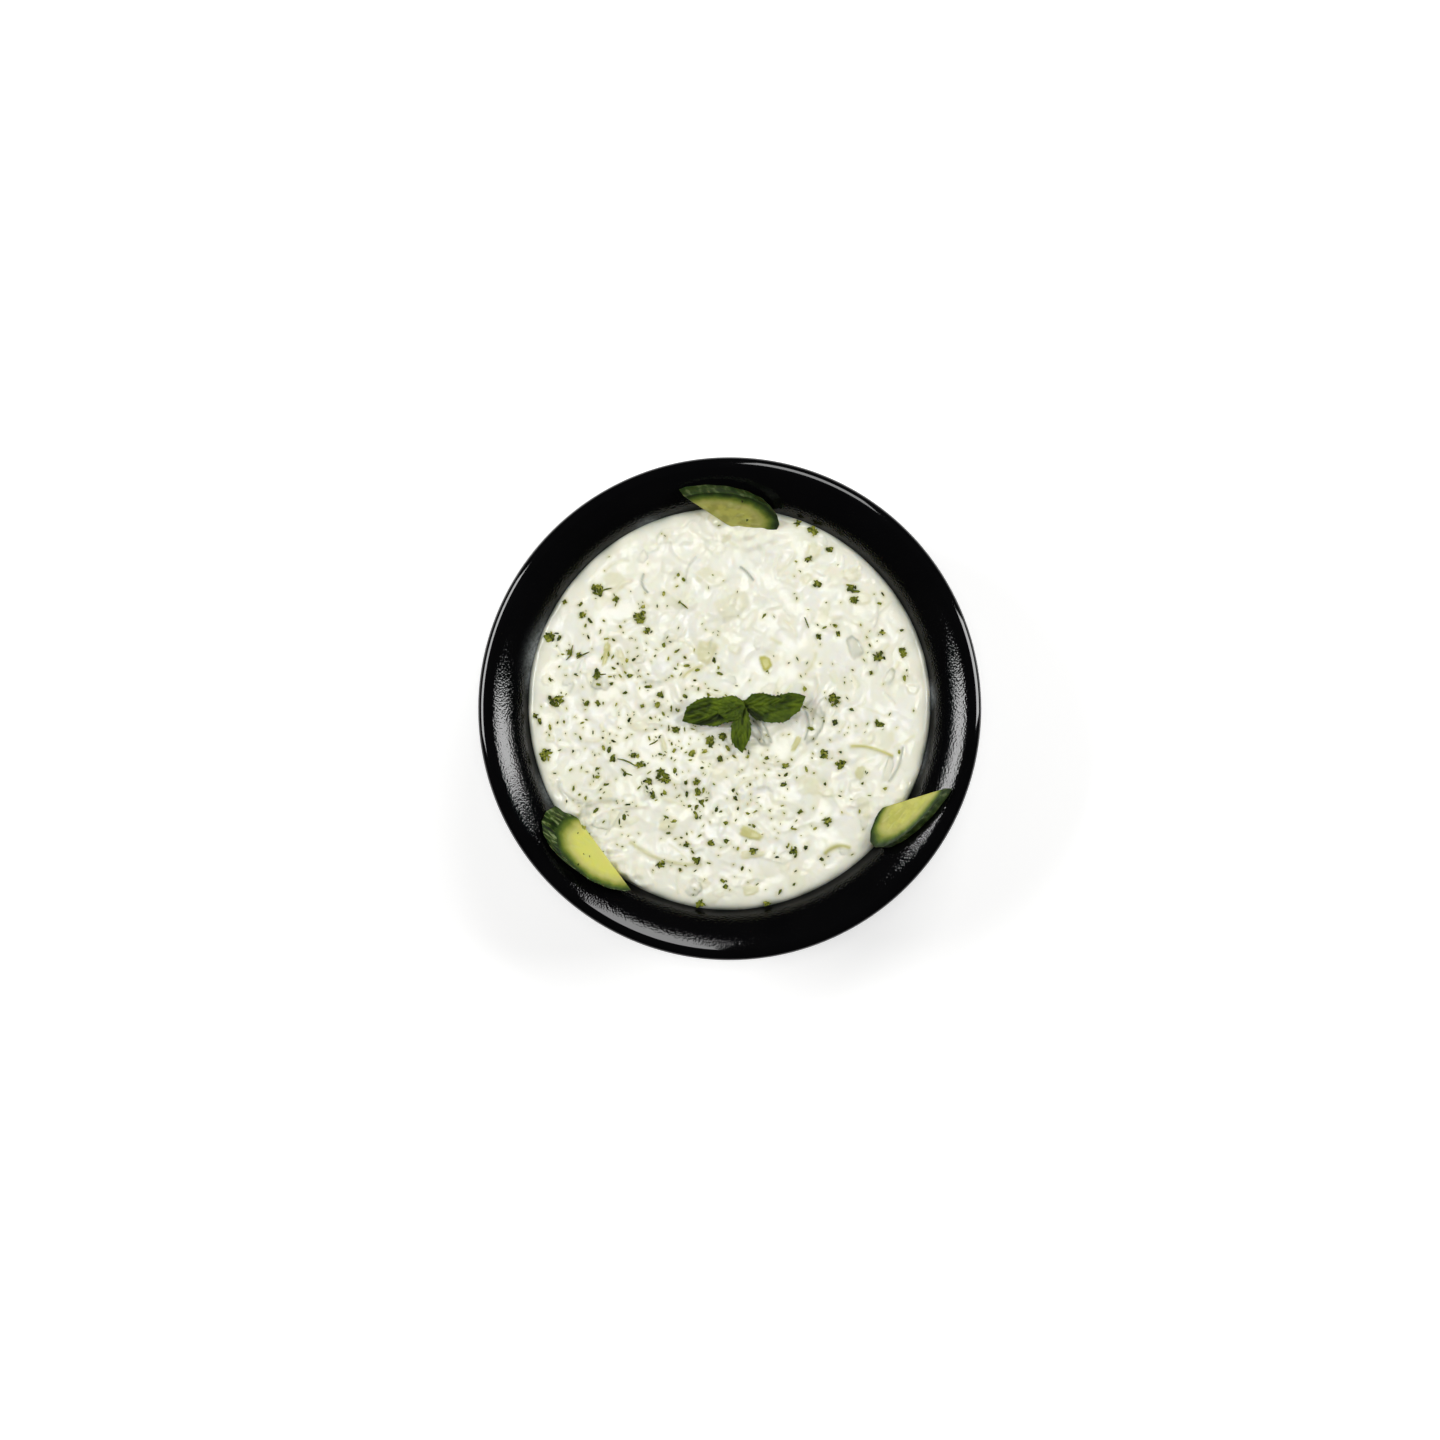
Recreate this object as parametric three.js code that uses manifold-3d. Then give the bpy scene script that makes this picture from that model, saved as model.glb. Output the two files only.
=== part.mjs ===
// Tzatziki dip in a round black bowl, garnished with three half slices of cucumber, a sprig of
// mint and dried herbs. Millimetres, +Z up, origin under the middle of the bowl's foot.
import * as THREE from "three";
import { mergeVertices } from "three/addons/utils/BufferGeometryUtils.js";
import Module from "manifold-3d";

const wasm = await Module();
wasm.setup();

// ---- Driving dimensions -------------------------------------------------------------------
const BOWL_RADIUS = 90;
const BOWL_HEIGHT = 50; // at the crest of the rim
const CREST_RADIUS = 86.1;
const WALL = 3.6;
const FLOOR_TOP = 7.5;
const CORNER_RADIUS = 24; // inside, where the floor turns up into the wall
const FLARE_RADIUS = 71; // where the straight wall starts to flare out towards the rim
const WALL_SLOPE = THREE.MathUtils.degToRad(62);
const CREST_SLOPE = THREE.MathUtils.degToRad(22);
const LIP_CURVE = 7.5; // radius of the lip's top, which bends down from the crest to its edge
const LIP_START_SLOPE = THREE.MathUtils.degToRad(5.6);
const LIP_EDGE_SLOPE = THREE.MathUtils.degToRad(32);
const LIP_EDGE_ROUND = 0.53; // where the top turns into the rim's upright side
const LIP_DROP = 3.6; // from the crest down to the lower end of that side
const LIP_ROUND = 1.6; // under it
const LIP_UNDER_SLOPE = THREE.MathUtils.degToRad(35);
const FOOT_OUTER_RADIUS = 47;
const FOOT_INNER_RADIUS = 41;
const FOOT_CHAMFER = 2;
const FOOT_HEIGHT = 4.5;
const RECESS_HEIGHT = 2.6;
const BOWL_SEGMENTS = 64;

const GAP = 0.3; // between neighbours
const DIP_LEVEL = 41;
const CONTACT_LEVEL = 38.9; // where the dip meets the wall
// The line where it meets the wall wanders: [waves in a turn, height, phase].
const CONTACT_WAVES = [
  [1, 0.45, -2.13],
  [3, 0.3, -1.07],
  [7, 0.15, -1.57],
];
const EDGE_ROLL = 1.8; // how fast the surface rolls down to the wall
const DIP_RINGS = 20; // rings of the top surface, ring k has 6 k segments
const RING_CROWDING = 1.25; // above 1 the rings crowd towards the wall
const LUMPS = 110;
const LUMP_FIELD = 68; // radius that the lumps cover
const LUMP_WIDTH = [3, 8];
const LUMP_HEIGHT = [-0.7, 1];

const SLICE_GAP = 0.4; // a little more, because the skin slants
const SLICE_ARC_STEPS = 36;
const SKIN_RIBS = 9;
const SKIN_RIB_DEPTH = 0.012; // as a share of the slice's radius

// A half slice is cut on the bias: `along` runs from the middle of its straight edge to one end,
// `across` from there to the middle of the skin, and `through` from the shown face to the back
// face, along the cucumber. `swell` is how far the dip rises against the straight edge.
const SLICES = {
  left: {
    middle: [-45.3, -51.6, 44.35],
    along: [10.3, -13.8, 1.5],
    across: [-13.5, -1.15, 10],
    through: [-5.2, 3.3, -4.5],
    swell: 2.2,
  },
  back: {
    middle: [-3.3, 67.7, 43.0],
    along: [13.2, -7.95, -8],
    across: [16.7, 4.75, 7],
    through: [-1.95, 3.05, -3.4],
    swell: 1,
  },
  right: {
    middle: [65.5, -32.0, 47.6],
    along: [-11.2, -3.8, -6],
    across: [-10.4, -17.4, 0],
    through: [2.95, -0.3, -3.5],
    swell: 1,
  },
};
const SWELL_WIDTH = 6;

// The mint leaves, each from its base to its tip. `left` and `right` are its edges and `rib` its
// midrib, as distances from the straight line between base and tip at even steps along it.
// `arch` lifts the middle, `fold` lifts both edges into a shallow V and `roll` tips the blade.
const LEAF_THICKNESS = 0.5;
const LEAF_STEPS = 12;
const LEAF_HALF_STEPS = 2;
const SERRATION = 0.05;
const LEAVES = [
  {
    base: [5.3, 1.3, 44],
    tip: [-17.1, -4.5, 43.3],
    left: [0.9, 4.2, 4.8, 2.9, 0.4],
    rib: [0, -0.5, 0, 0.1, 0],
    right: [-1.1, -4.6, -5.9, -5.6, -0.4],
    arch: 1.7,
    fold: 0.6,
    roll: -0.04,
  },
  {
    base: [5.2, 1.7, 44.7],
    tip: [-4.3, -1.3, 45.6],
    left: [1.2, 3.8, 4.6, 3.5, 0.4],
    rib: [0, 0.2, 0.2, 0, 0],
    right: [-1.2, -3.8, -4.4, -3.3, -0.4],
    arch: 0.8,
    fold: -0.3,
    roll: 0.02,
  },
  {
    base: [5.3, 1.8, 44],
    tip: [27.3, 4.5, 45.2],
    left: [0.8, 3.1, 1.5, 1.9, 0.4],
    rib: [-0.2, -2, -1.6, -0.4, 0],
    right: [-1.8, -6.9, -8.1, -6.4, -0.4],
    arch: 1.6,
    fold: 0.9,
    roll: 0.05,
  },
  {
    base: [4.7, 1.3, 44.1],
    tip: [4.6, -16, 43.2],
    left: [1, 2.4, 3, 2, 0.4],
    rib: [0, -0.1, -0.4, -0.3, 0],
    right: [-1, -3.2, -4.1, -3.7, -0.4],
    arch: 1.2,
    fold: 0.7,
    roll: 0,
  },
];
const STEM = { top: [4.7, 1.9, 44.6], foot: [5.6, 3.0, 36.5], radius: 0.9, sides: 8 };

// Patches of dried herb: middle x and y, spread, and number of flakes, the largest flake first.
const HERB_PATCHES = [
  [-26, -25, 6, 9], [-13, -29, 7, 6], [7, -48, 13, 6], [20, -24, 6, 4], [37, -18, 5, 4],
  [33, -43, 8, 4], [26, 60, 6, 5], [44, 42, 4, 3], [56, 21, 7, 5], [36, 27, 5, 4],
  [46, -1, 9, 4], [-47, 41, 9, 7], [-57, 21, 6, 5], [-43, 6, 11, 7], [-63, -3, 4, 3],
  [-62, -17, 4, 2], [-28, 6, 7, 4], [-8, -17, 6, 4], [-14, -53, 8, 5], [2, -62, 7, 3],
];
const FLAKE_LARGE = 4.2;
const FLAKE_SMALL = 1.7;
const FLAKE_THICKNESS = 1.0; // half of it is sunk in the dip
const FLAKE_SIDES = 5;
const FLAKE_TILT = 0.5;
const FLAKE_STRETCH = [0.55, 0.95];
const FLAKE_RAGGED = [0.75, 1.1];
const FLAKE_TOP = 0.85; // the upper face's size, as a share of the lower one's
const FLAKE_SPREAD = 0.6; // how far the other flakes of a patch come up to the largest one

// ---- Small helpers ------------------------------------------------------------------------
const vec = ([x, y, z]) => new THREE.Vector3(x, y, z);

// A repeatable draw between 0 and 1: number n of a numbered series.
function draw(n, series) {
  const v = Math.sin(n * 12.9898 + series * 78.233) * 43758.5453;
  return v - Math.floor(v);
}
const drawBetween = ([low, high], n, series) => low + (high - low) * draw(n, series);

// A closed surface from its vertices and triangles, as a solid with its faces pointing out.
function solidFrom(vertices, triangles) {
  const positions = new Float32Array(vertices.flatMap((p) => [p.x, p.y, p.z]));
  const geometry = new THREE.BufferGeometry();
  geometry.setAttribute("position", new THREE.BufferAttribute(positions, 3));
  geometry.setIndex(triangles.flat());
  return solidOf(geometry);
}

function solidOf(geometry) {
  geometry.deleteAttribute("normal");
  geometry.deleteAttribute("uv");
  const merged = mergeVertices(geometry, 1e-4);
  const kept = [];
  for (let i = 0; i < merged.index.count; i += 3) {
    const [a, b, c] = [0, 1, 2].map((k) => merged.index.getX(i + k));
    if (a !== b && b !== c && c !== a) kept.push([a, b, c]);
  }
  const make = (faces) =>
    new wasm.Manifold(
      new wasm.Mesh({
        numProp: 3,
        vertProperties: merged.attributes.position.array,
        triVerts: new Uint32Array(faces.flat()),
      }),
    );
  const solid = make(kept);
  return solid.volume() > 0 ? solid : make(kept.map(([a, b, c]) => [a, c, b]));
}

function largestPiece(solid) {
  return solid.decompose().reduce((best, s) => (s.volume() > best.volume() ? s : best));
}

function meshOf(name, solid, material) {
  const { numProp, vertProperties, triVerts } = solid.getMesh();
  const positions = new Float32Array((vertProperties.length / numProp) * 3);
  for (let i = 0; i * 3 < positions.length; i++)
    positions.set(vertProperties.subarray(i * numProp, i * numProp + 3), i * 3);
  const geometry = new THREE.BufferGeometry();
  geometry.setAttribute("position", new THREE.BufferAttribute(positions, 3));
  geometry.setIndex(new THREE.BufferAttribute(triVerts, 1));
  geometry.computeVertexNormals();
  const mesh = new THREE.Mesh(geometry, new THREE.MeshStandardMaterial(material));
  mesh.name = name;
  return mesh;
}

// ---- The bowl -----------------------------------------------------------------------------
// The inside runs flat, turns up round a corner, climbs straight, then flares out in an arc to
// the crest. A point of it is named by its slope, and the outside lies one wall further out.
const { sin, cos, tan, acos, PI } = Math;
const FLARE = (CREST_RADIUS - FLARE_RADIUS) / (sin(WALL_SLOPE) - sin(CREST_SLOPE));
const FLARE_START_HEIGHT = BOWL_HEIGHT - FLARE * (cos(CREST_SLOPE) - cos(WALL_SLOPE));
const CORNER_TOP = FLOOR_TOP + CORNER_RADIUS * (1 - cos(WALL_SLOPE));
const CORNER_TOP_RADIUS = FLARE_RADIUS - (FLARE_START_HEIGHT - CORNER_TOP) / tan(WALL_SLOPE);
const FLOOR_RADIUS = CORNER_TOP_RADIUS - CORNER_RADIUS * sin(WALL_SLOPE);

// Points [radius, height] at the distance `off` outside the inner surface (inside when negative).
const cornerPoint = (slope, off) => [
  FLOOR_RADIUS + (CORNER_RADIUS + off) * sin(slope),
  FLOOR_TOP + CORNER_RADIUS - (CORNER_RADIUS + off) * cos(slope),
];
const flarePoint = (slope, off) => [
  FLARE_RADIUS + FLARE * (sin(WALL_SLOPE) - sin(slope)) + off * sin(slope),
  BOWL_HEIGHT - FLARE * (cos(CREST_SLOPE) - cos(slope)) - off * cos(slope),
];
const steps = (from, to, n, point) =>
  Array.from({ length: n + 1 }, (_, i) => point(from + ((to - from) * i) / n));

function bowl() {
  const footSlope = acos(
    (FLOOR_TOP + CORNER_RADIUS - FOOT_HEIGHT) / (CORNER_RADIUS + WALL),
  );
  // A round that leaves a point at one slope and bends down to another.
  const roundFrom = ([r, z], slope, radius) => (s) => [
    r + radius * (sin(s) - sin(slope)),
    z - radius * (cos(slope) - cos(s)),
  ];
  const edgeStart = BOWL_RADIUS - LIP_EDGE_ROUND * (1 - sin(LIP_EDGE_SLOPE));
  const curveStart = edgeStart - LIP_CURVE * (sin(LIP_EDGE_SLOPE) - sin(LIP_START_SLOPE));
  const curve = roundFrom([curveStart, BOWL_HEIGHT], LIP_START_SLOPE, LIP_CURVE);
  const edge = roundFrom(curve(LIP_EDGE_SLOPE), LIP_EDGE_SLOPE, LIP_EDGE_ROUND);
  const profile = [
    [0, FLOOR_TOP],
    ...steps(0, WALL_SLOPE, 4, (s) => cornerPoint(s, 0)),
    ...steps(WALL_SLOPE, CREST_SLOPE, 5, (s) => flarePoint(s, 0)),
    ...steps(LIP_START_SLOPE, LIP_EDGE_SLOPE, 3, curve),
    edge(PI / 2),
    [BOWL_RADIUS, BOWL_HEIGHT - LIP_DROP],
    [BOWL_RADIUS - LIP_ROUND, BOWL_HEIGHT - LIP_DROP - LIP_ROUND],
    ...steps(LIP_UNDER_SLOPE, WALL_SLOPE, 2, (s) => flarePoint(s, WALL)),
    ...steps(WALL_SLOPE, footSlope, 3, (s) => cornerPoint(s, WALL)),
    [FOOT_OUTER_RADIUS - FOOT_CHAMFER * 0.75, FOOT_CHAMFER * 0.3],
    [FOOT_OUTER_RADIUS - FOOT_CHAMFER, 0],
    [FOOT_INNER_RADIUS + 0.5, 0],
    [FOOT_INNER_RADIUS, RECESS_HEIGHT],
    [0, RECESS_HEIGHT],
  ].map(([r, z]) => new THREE.Vector2(r, z));
  return solidOf(new THREE.LatheGeometry(profile, BOWL_SEGMENTS).rotateX(PI / 2));
}

// ---- Cucumber half slices -----------------------------------------------------------------
// `grow` makes the slice larger on every side, to cut its place out of the dip.
function halfSlice({ middle, along, across, through }, grow = 0) {
  const [a, b, t] = [along, across, through].map(vec);
  const up = a.clone().cross(b).normalize();
  if (up.dot(t) > 0) up.negate();
  const inward = b.clone().addScaledVector(a, -b.dot(a) / a.lengthSq()).normalize();
  const beyond = grow / Math.abs(t.dot(up)); // share of `through` that adds `grow` to a face
  const centre = vec(middle).addScaledVector(t, -beyond).addScaledVector(inward, -grow);
  a.setLength(a.length() + grow);
  b.setLength(b.length() + 2 * grow);
  t.multiplyScalar(1 + 2 * beyond);

  const rim = steps(0, PI, SLICE_ARC_STEPS, (angle) => {
    const rib = 1 - (grow ? 0 : SKIN_RIB_DEPTH * (1 + cos(angle * 2 * SKIN_RIBS)) / 2);
    return a.clone().multiplyScalar(rib * cos(angle)).addScaledVector(b, rib * sin(angle));
  });
  const shown = [new THREE.Vector3(), ...rim].map((p) => p.add(centre));
  const back = shown.map((p) => p.clone().add(t));
  const n = shown.length;
  const faces = [];
  for (let i = 1; i < n - 1; i++)
    faces.push([0, i, i + 1], [n, n + i + 1, n + i], [i, n + i, n + i + 1], [i, n + i + 1, i + 1]);
  faces.push([0, n, n + 1], [0, n + 1, 1], [n - 1, 2 * n - 1, n], [n - 1, n, 0]);
  return solidFrom([...shown, ...back], faces);
}

// ---- The dip ------------------------------------------------------------------------------
const lumps = Array.from({ length: LUMPS }, (_, i) => {
  const angle = i * PI * (3 - Math.sqrt(5)) + draw(i, 1);
  const reach = LUMP_FIELD * Math.sqrt((i + draw(i, 2)) / LUMPS);
  return {
    x: reach * cos(angle),
    y: reach * sin(angle),
    width: drawBetween(LUMP_WIDTH, i, 3),
    height: drawBetween(LUMP_HEIGHT, i, 4),
  };
});

// The height where the dip meets the wall, which wanders a little round the bowl.
const contactLevel = (angle) =>
  CONTACT_WAVES.reduce(
    (level, [waves, height, phase]) => level + height * cos(waves * angle + phase),
    CONTACT_LEVEL,
  );

function swellAt(x, y) {
  let swell = 0;
  for (const { middle, along, swell: height } of Object.values(SLICES)) {
    const dx = x - middle[0];
    const dy = y - middle[1];
    const share = (dx * along[0] + dy * along[1]) / (along[0] ** 2 + along[1] ** 2);
    const near = Math.max(-1, Math.min(1, share));
    const away = Math.hypot(dx - near * along[0], dy - near * along[1]);
    swell += height * Math.exp(-((away / SWELL_WIDTH) ** 2));
  }
  return swell;
}

function openSurface(x, y) {
  let z = DIP_LEVEL + swellAt(x, y);
  for (const { x: lx, y: ly, width, height } of lumps)
    z += height * Math.exp(-((x - lx) ** 2 + (y - ly) ** 2) / width ** 2);
  return z;
}

function dipPoint(angle, share) {
  const rimSlope = acos(
    (contactLevel(angle) - BOWL_HEIGHT + FLARE * cos(CREST_SLOPE)) / (FLARE + GAP),
  );
  const [rim, rimHeight] = flarePoint(rimSlope, -GAP);
  const x = rim * share * cos(angle);
  const y = rim * share * sin(angle);
  const rolled = Math.exp(-(rim * (1 - share)) / EDGE_ROLL);
  return new THREE.Vector3(x, y, openSurface(x, y) * (1 - rolled) + rimHeight * rolled);
}

function plainDip() {
  const vertices = [dipPoint(0, 0)];
  const faces = [];
  const ringStart = (k) => (k ? 1 + 3 * k * (k - 1) : 0);
  for (let k = 1; k <= DIP_RINGS; k++) {
    const share = 1 - (1 - k / DIP_RINGS) ** RING_CROWDING;
    for (let j = 0; j < 6 * k; j++) vertices.push(dipPoint((2 * PI * j) / (6 * k), share));
    const outer = (sector, j) => ringStart(k) + ((sector * k + j) % (6 * k));
    const inner = (sector, j) =>
      k > 1 ? ringStart(k - 1) + ((sector * (k - 1) + j) % (6 * (k - 1))) : 0;
    for (let sector = 0; sector < 6; sector++)
      for (let j = 0; j < k; j++) {
        faces.push([outer(sector, j), outer(sector, j + 1), inner(sector, j)]);
        if (j < k - 1) faces.push([inner(sector, j), outer(sector, j + 1), inner(sector, j + 1)]);
      }
  }
  // The side follows the wall, one gap inside it, down to the floor.
  const around = 6 * DIP_RINGS;
  const side = [
    flarePoint(WALL_SLOPE, -GAP),
    ...steps(WALL_SLOPE, 0, 4, (s) => cornerPoint(s, -GAP)),
  ];
  side.forEach(([r, z], level) => {
    const above = ringStart(DIP_RINGS) + level * around;
    for (let j = 0; j < around; j++) {
      const angle = (2 * PI * j) / around;
      vertices.push(new THREE.Vector3(r * cos(angle), r * sin(angle), z));
      const next = (j + 1) % around;
      faces.push([above + j, above + around + j, above + around + next]);
      faces.push([above + j, above + around + next, above + next]);
    }
  });
  const foot = vertices.length - around;
  vertices.push(new THREE.Vector3(0, 0, FLOOR_TOP + GAP));
  for (let j = 0; j < around; j++)
    faces.push([foot + j, vertices.length - 1, foot + ((j + 1) % around)]);
  return solidFrom(vertices, faces);
}

// ---- Herbs --------------------------------------------------------------------------------
function flake(x, y, size, number) {
  const turn = 2 * PI * draw(number, 11);
  const [tipX, tipY] = [12, 13].map((series) => FLAKE_TILT * (draw(number, series) - 0.5));
  const tilt = new THREE.Euler(tipX, tipY, turn);
  const stretch = drawBetween(FLAKE_STRETCH, number, 14);
  const centre = new THREE.Vector3(x, y, openSurface(x, y));
  const ring = (height, shrink) =>
    steps(0, 2 * PI, FLAKE_SIDES, (angle) => angle)
      .slice(0, -1)
      .map((angle, i) => {
        const ragged = drawBetween(FLAKE_RAGGED, number * FLAKE_SIDES + i, 15);
        const reach = (size / 2) * shrink * ragged;
        return new THREE.Vector3(reach * cos(angle), reach * stretch * sin(angle), height)
          .applyEuler(tilt)
          .add(centre);
      });
  const vertices = [...ring(FLAKE_THICKNESS / 2, FLAKE_TOP), ...ring(-FLAKE_THICKNESS / 2, 1)];
  const faces = [];
  for (let i = 0; i < FLAKE_SIDES; i++) {
    const next = (i + 1) % FLAKE_SIDES;
    faces.push([i, FLAKE_SIDES + i, FLAKE_SIDES + next], [i, FLAKE_SIDES + next, next]);
    if (i > 0 && i < FLAKE_SIDES - 1)
      faces.push([0, i, i + 1], [FLAKE_SIDES, FLAKE_SIDES + i + 1, FLAKE_SIDES + i]);
  }
  return solidFrom(vertices, faces);
}

function herbs() {
  const flakes = [];
  HERB_PATCHES.forEach(([px, py, spread, count], patch) => {
    for (let i = 0; i < count; i++) {
      const number = patch * 16 + i;
      const angle = 2 * PI * draw(number, 8);
      const reach = i ? spread * Math.sqrt(draw(number, 9)) : 0;
      const share = i ? FLAKE_SPREAD * draw(number, 10) : 1;
      const size = FLAKE_SMALL + (FLAKE_LARGE - FLAKE_SMALL) * share;
      flakes.push(flake(px + reach * cos(angle), py + reach * sin(angle), size, number));
    }
  });
  return flakes;
}

// ---- Mint ---------------------------------------------------------------------------------
// A thin sheet: a grid of points and the same grid one thickness lower, split alike, and edges.
function sheet(grid, thickness) {
  const [rows, columns] = [grid.length, grid[0].length];
  const top = grid.flat();
  const bottom = top.map((p) => p.clone().setZ(p.z - thickness));
  const low = top.length;
  const at = (r, c) => r * columns + c;
  const faces = [];
  const quad = (a, b, c, d) => faces.push([a, b, c], [a, c, d]);
  for (let r = 0; r + 1 < rows; r++) {
    for (let c = 0; c + 1 < columns; c++) {
      const [p, q, s, t] = [at(r, c), at(r + 1, c), at(r + 1, c + 1), at(r, c + 1)];
      faces.push([p, q, s], [p, s, t], [low + p, low + s, low + q], [low + p, low + t, low + s]);
    }
    quad(at(r, 0), low + at(r, 0), low + at(r + 1, 0), at(r + 1, 0));
    const last = columns - 1;
    quad(at(r + 1, last), low + at(r + 1, last), low + at(r, last), at(r, last));
  }
  for (let c = 0; c + 1 < columns; c++) {
    quad(at(0, c + 1), low + at(0, c + 1), low + at(0, c), at(0, c));
    const end = rows - 1;
    quad(at(end, c), low + at(end, c), low + at(end, c + 1), at(end, c + 1));
  }
  return solidFrom([...top, ...bottom], faces);
}

// A smooth curve through values at even steps from 0 to 1.
function alongLeaf(values, u) {
  const at = Math.min(Math.floor(u * (values.length - 1)), values.length - 2);
  const t = u * (values.length - 1) - at;
  const [before, low, high, after] = [-1, 0, 1, 2].map(
    (k) => values[Math.max(0, Math.min(values.length - 1, at + k))],
  );
  const [leave, arrive] = [(high - before) / 2, (after - low) / 2];
  const bend = 2 * (low - high) + leave + arrive;
  return low + t * (leave + t * (3 * (high - low) - 2 * leave - arrive + t * bend));
}

function leaf({ base, tip, left, rib, right, arch, fold, roll }) {
  const [start, end] = [vec(base), vec(tip)];
  const run = end.clone().sub(start);
  const side = new THREE.Vector3(-run.y, run.x, 0).normalize();
  const grid = steps(0, 1, LEAF_STEPS, (u) => {
    const tooth = 1 + SERRATION * (Math.round(u * LEAF_STEPS) % 2 ? 1 : -1);
    const middle = alongLeaf(rib, u);
    return steps(-1, 1, 2 * LEAF_HALF_STEPS, (v) => {
      const reach = middle + (alongLeaf(v > 0 ? left : right, u) - middle) * Math.abs(v) * tooth;
      const lift = arch * sin(PI * u) + fold * sin(PI * u) * v * v + roll * reach;
      return start
        .clone()
        .addScaledVector(run, u)
        .addScaledVector(side, reach)
        .add(new THREE.Vector3(0, 0, lift));
    });
  });
  return sheet(grid, LEAF_THICKNESS);
}

function stem(grow = 0) {
  const [top, foot] = [vec(STEM.top), vec(STEM.foot)];
  const length = top.distanceTo(foot) + 2 * grow;
  const radius = STEM.radius + grow;
  const direction = top.clone().sub(foot).normalize();
  const turn = new THREE.Quaternion().setFromUnitVectors(new THREE.Vector3(0, 1, 0), direction);
  const middle = top.clone().add(foot).multiplyScalar(0.5);
  const geometry = new THREE.CylinderGeometry(radius, radius, length, STEM.sides);
  return solidOf(geometry.applyQuaternion(turn).translate(middle.x, middle.y, middle.z));
}

function mintSprig() {
  return largestPiece(LEAVES.reduce((sprig, shape) => sprig.add(leaf(shape)), stem()));
}

function dip() {
  const slices = Object.values(SLICES).map((slice) => halfSlice(slice, SLICE_GAP));
  const dressed = herbs().reduce((body, flakeSolid) => body.add(flakeSolid), plainDip());
  const cut = [...slices, stem(GAP)].reduce((body, cutter) => body.subtract(cutter), dressed);
  return largestPiece(cut);
}

// ---- The whole dish -----------------------------------------------------------------------
const group = new THREE.Group();
group.add(meshOf("bowl", bowl(), { color: 0x0b0b0c, roughness: 0.35, metalness: 0 }));
group.add(meshOf("tzatziki", dip(), { color: 0xeeefe2, roughness: 0.3, metalness: 0 }));
for (const [place, slice] of Object.entries(SLICES))
  group.add(
    meshOf(`cucumber_slice_${place}`, halfSlice(slice), {
      color: 0xb9bb5c,
      roughness: 0.4,
      metalness: 0,
    }),
  );
group.add(meshOf("mint_sprig", mintSprig(), { color: 0x3f5f16, roughness: 0.6, metalness: 0 }));

export default group;
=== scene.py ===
# %% [markdown]
# # Tzatziki in a round black bowl
# A melamine bowl is filled to a finger below its rim with strained yogurt, grated cucumber and
# oil. Three half slices of cucumber lean on the wall, a sprig of mint lies in the middle and
# dried herbs are strewn over it all. The solids of the dish are loaded first as a fixed frame.
# The bowl, the dip, the slices and the leaves below are finer stand-ins for them, in the same
# place and size. The crumbs and stalks of herb and the mint's stem lie between those.

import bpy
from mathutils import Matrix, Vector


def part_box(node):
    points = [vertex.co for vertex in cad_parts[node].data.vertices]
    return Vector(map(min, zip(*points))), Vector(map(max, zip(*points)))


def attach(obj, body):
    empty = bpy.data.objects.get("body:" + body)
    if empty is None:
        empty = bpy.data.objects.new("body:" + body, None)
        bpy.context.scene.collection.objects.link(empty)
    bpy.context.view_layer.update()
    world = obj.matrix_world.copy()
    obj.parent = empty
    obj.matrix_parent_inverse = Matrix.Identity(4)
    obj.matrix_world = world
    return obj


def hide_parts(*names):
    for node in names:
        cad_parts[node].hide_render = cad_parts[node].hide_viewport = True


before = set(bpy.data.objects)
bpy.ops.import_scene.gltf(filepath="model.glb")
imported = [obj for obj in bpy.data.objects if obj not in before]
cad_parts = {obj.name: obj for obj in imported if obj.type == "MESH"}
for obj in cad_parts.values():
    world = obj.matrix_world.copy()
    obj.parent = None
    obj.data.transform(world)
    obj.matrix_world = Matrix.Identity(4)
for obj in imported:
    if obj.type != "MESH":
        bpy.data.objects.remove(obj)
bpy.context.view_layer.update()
print("solids:", ", ".join(sorted(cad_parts)))

# %% [markdown]
# ## Sizes
# All sizes here are in millimetres and become metres only when a mesh is made. The bowl's
# radius and height are read from its solid. The rest repeats the few numbers that its section
# and the dip's surface are worked out from.

# %% Driving sizes
import math

import bpy
import numpy as np

MM = 0.001
scene = bpy.context.scene
high_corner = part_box("bowl")[1]
BOWL_RADIUS = high_corner.x / MM
BOWL_HEIGHT = high_corner.z / MM
LIP_WIDTH = 3.9
CREST_RADIUS = BOWL_RADIUS - LIP_WIDTH
WALL = 3.6
FLOOR_TOP = 7.5
CORNER_RADIUS = 24
FLARE_RADIUS = 71
WALL_SLOPE = math.radians(62)
CREST_SLOPE = math.radians(22)
FLARE = (CREST_RADIUS - FLARE_RADIUS) / (math.sin(WALL_SLOPE) - math.sin(CREST_SLOPE))
FLARE_START = BOWL_HEIGHT - FLARE * (math.cos(CREST_SLOPE) - math.cos(WALL_SLOPE))
CORNER_TOP = FLOOR_TOP + CORNER_RADIUS * (1 - math.cos(WALL_SLOPE))
CORNER_TOP_RADIUS = FLARE_RADIUS - (FLARE_START - CORNER_TOP) / math.tan(WALL_SLOPE)
FLOOR_RADIUS = CORNER_TOP_RADIUS - CORNER_RADIUS * math.sin(WALL_SLOPE)
DIP_LEVEL = 41
print(f"bowl {2 * BOWL_RADIUS:.0f} mm across and {BOWL_HEIGHT:.0f} mm high")

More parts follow.
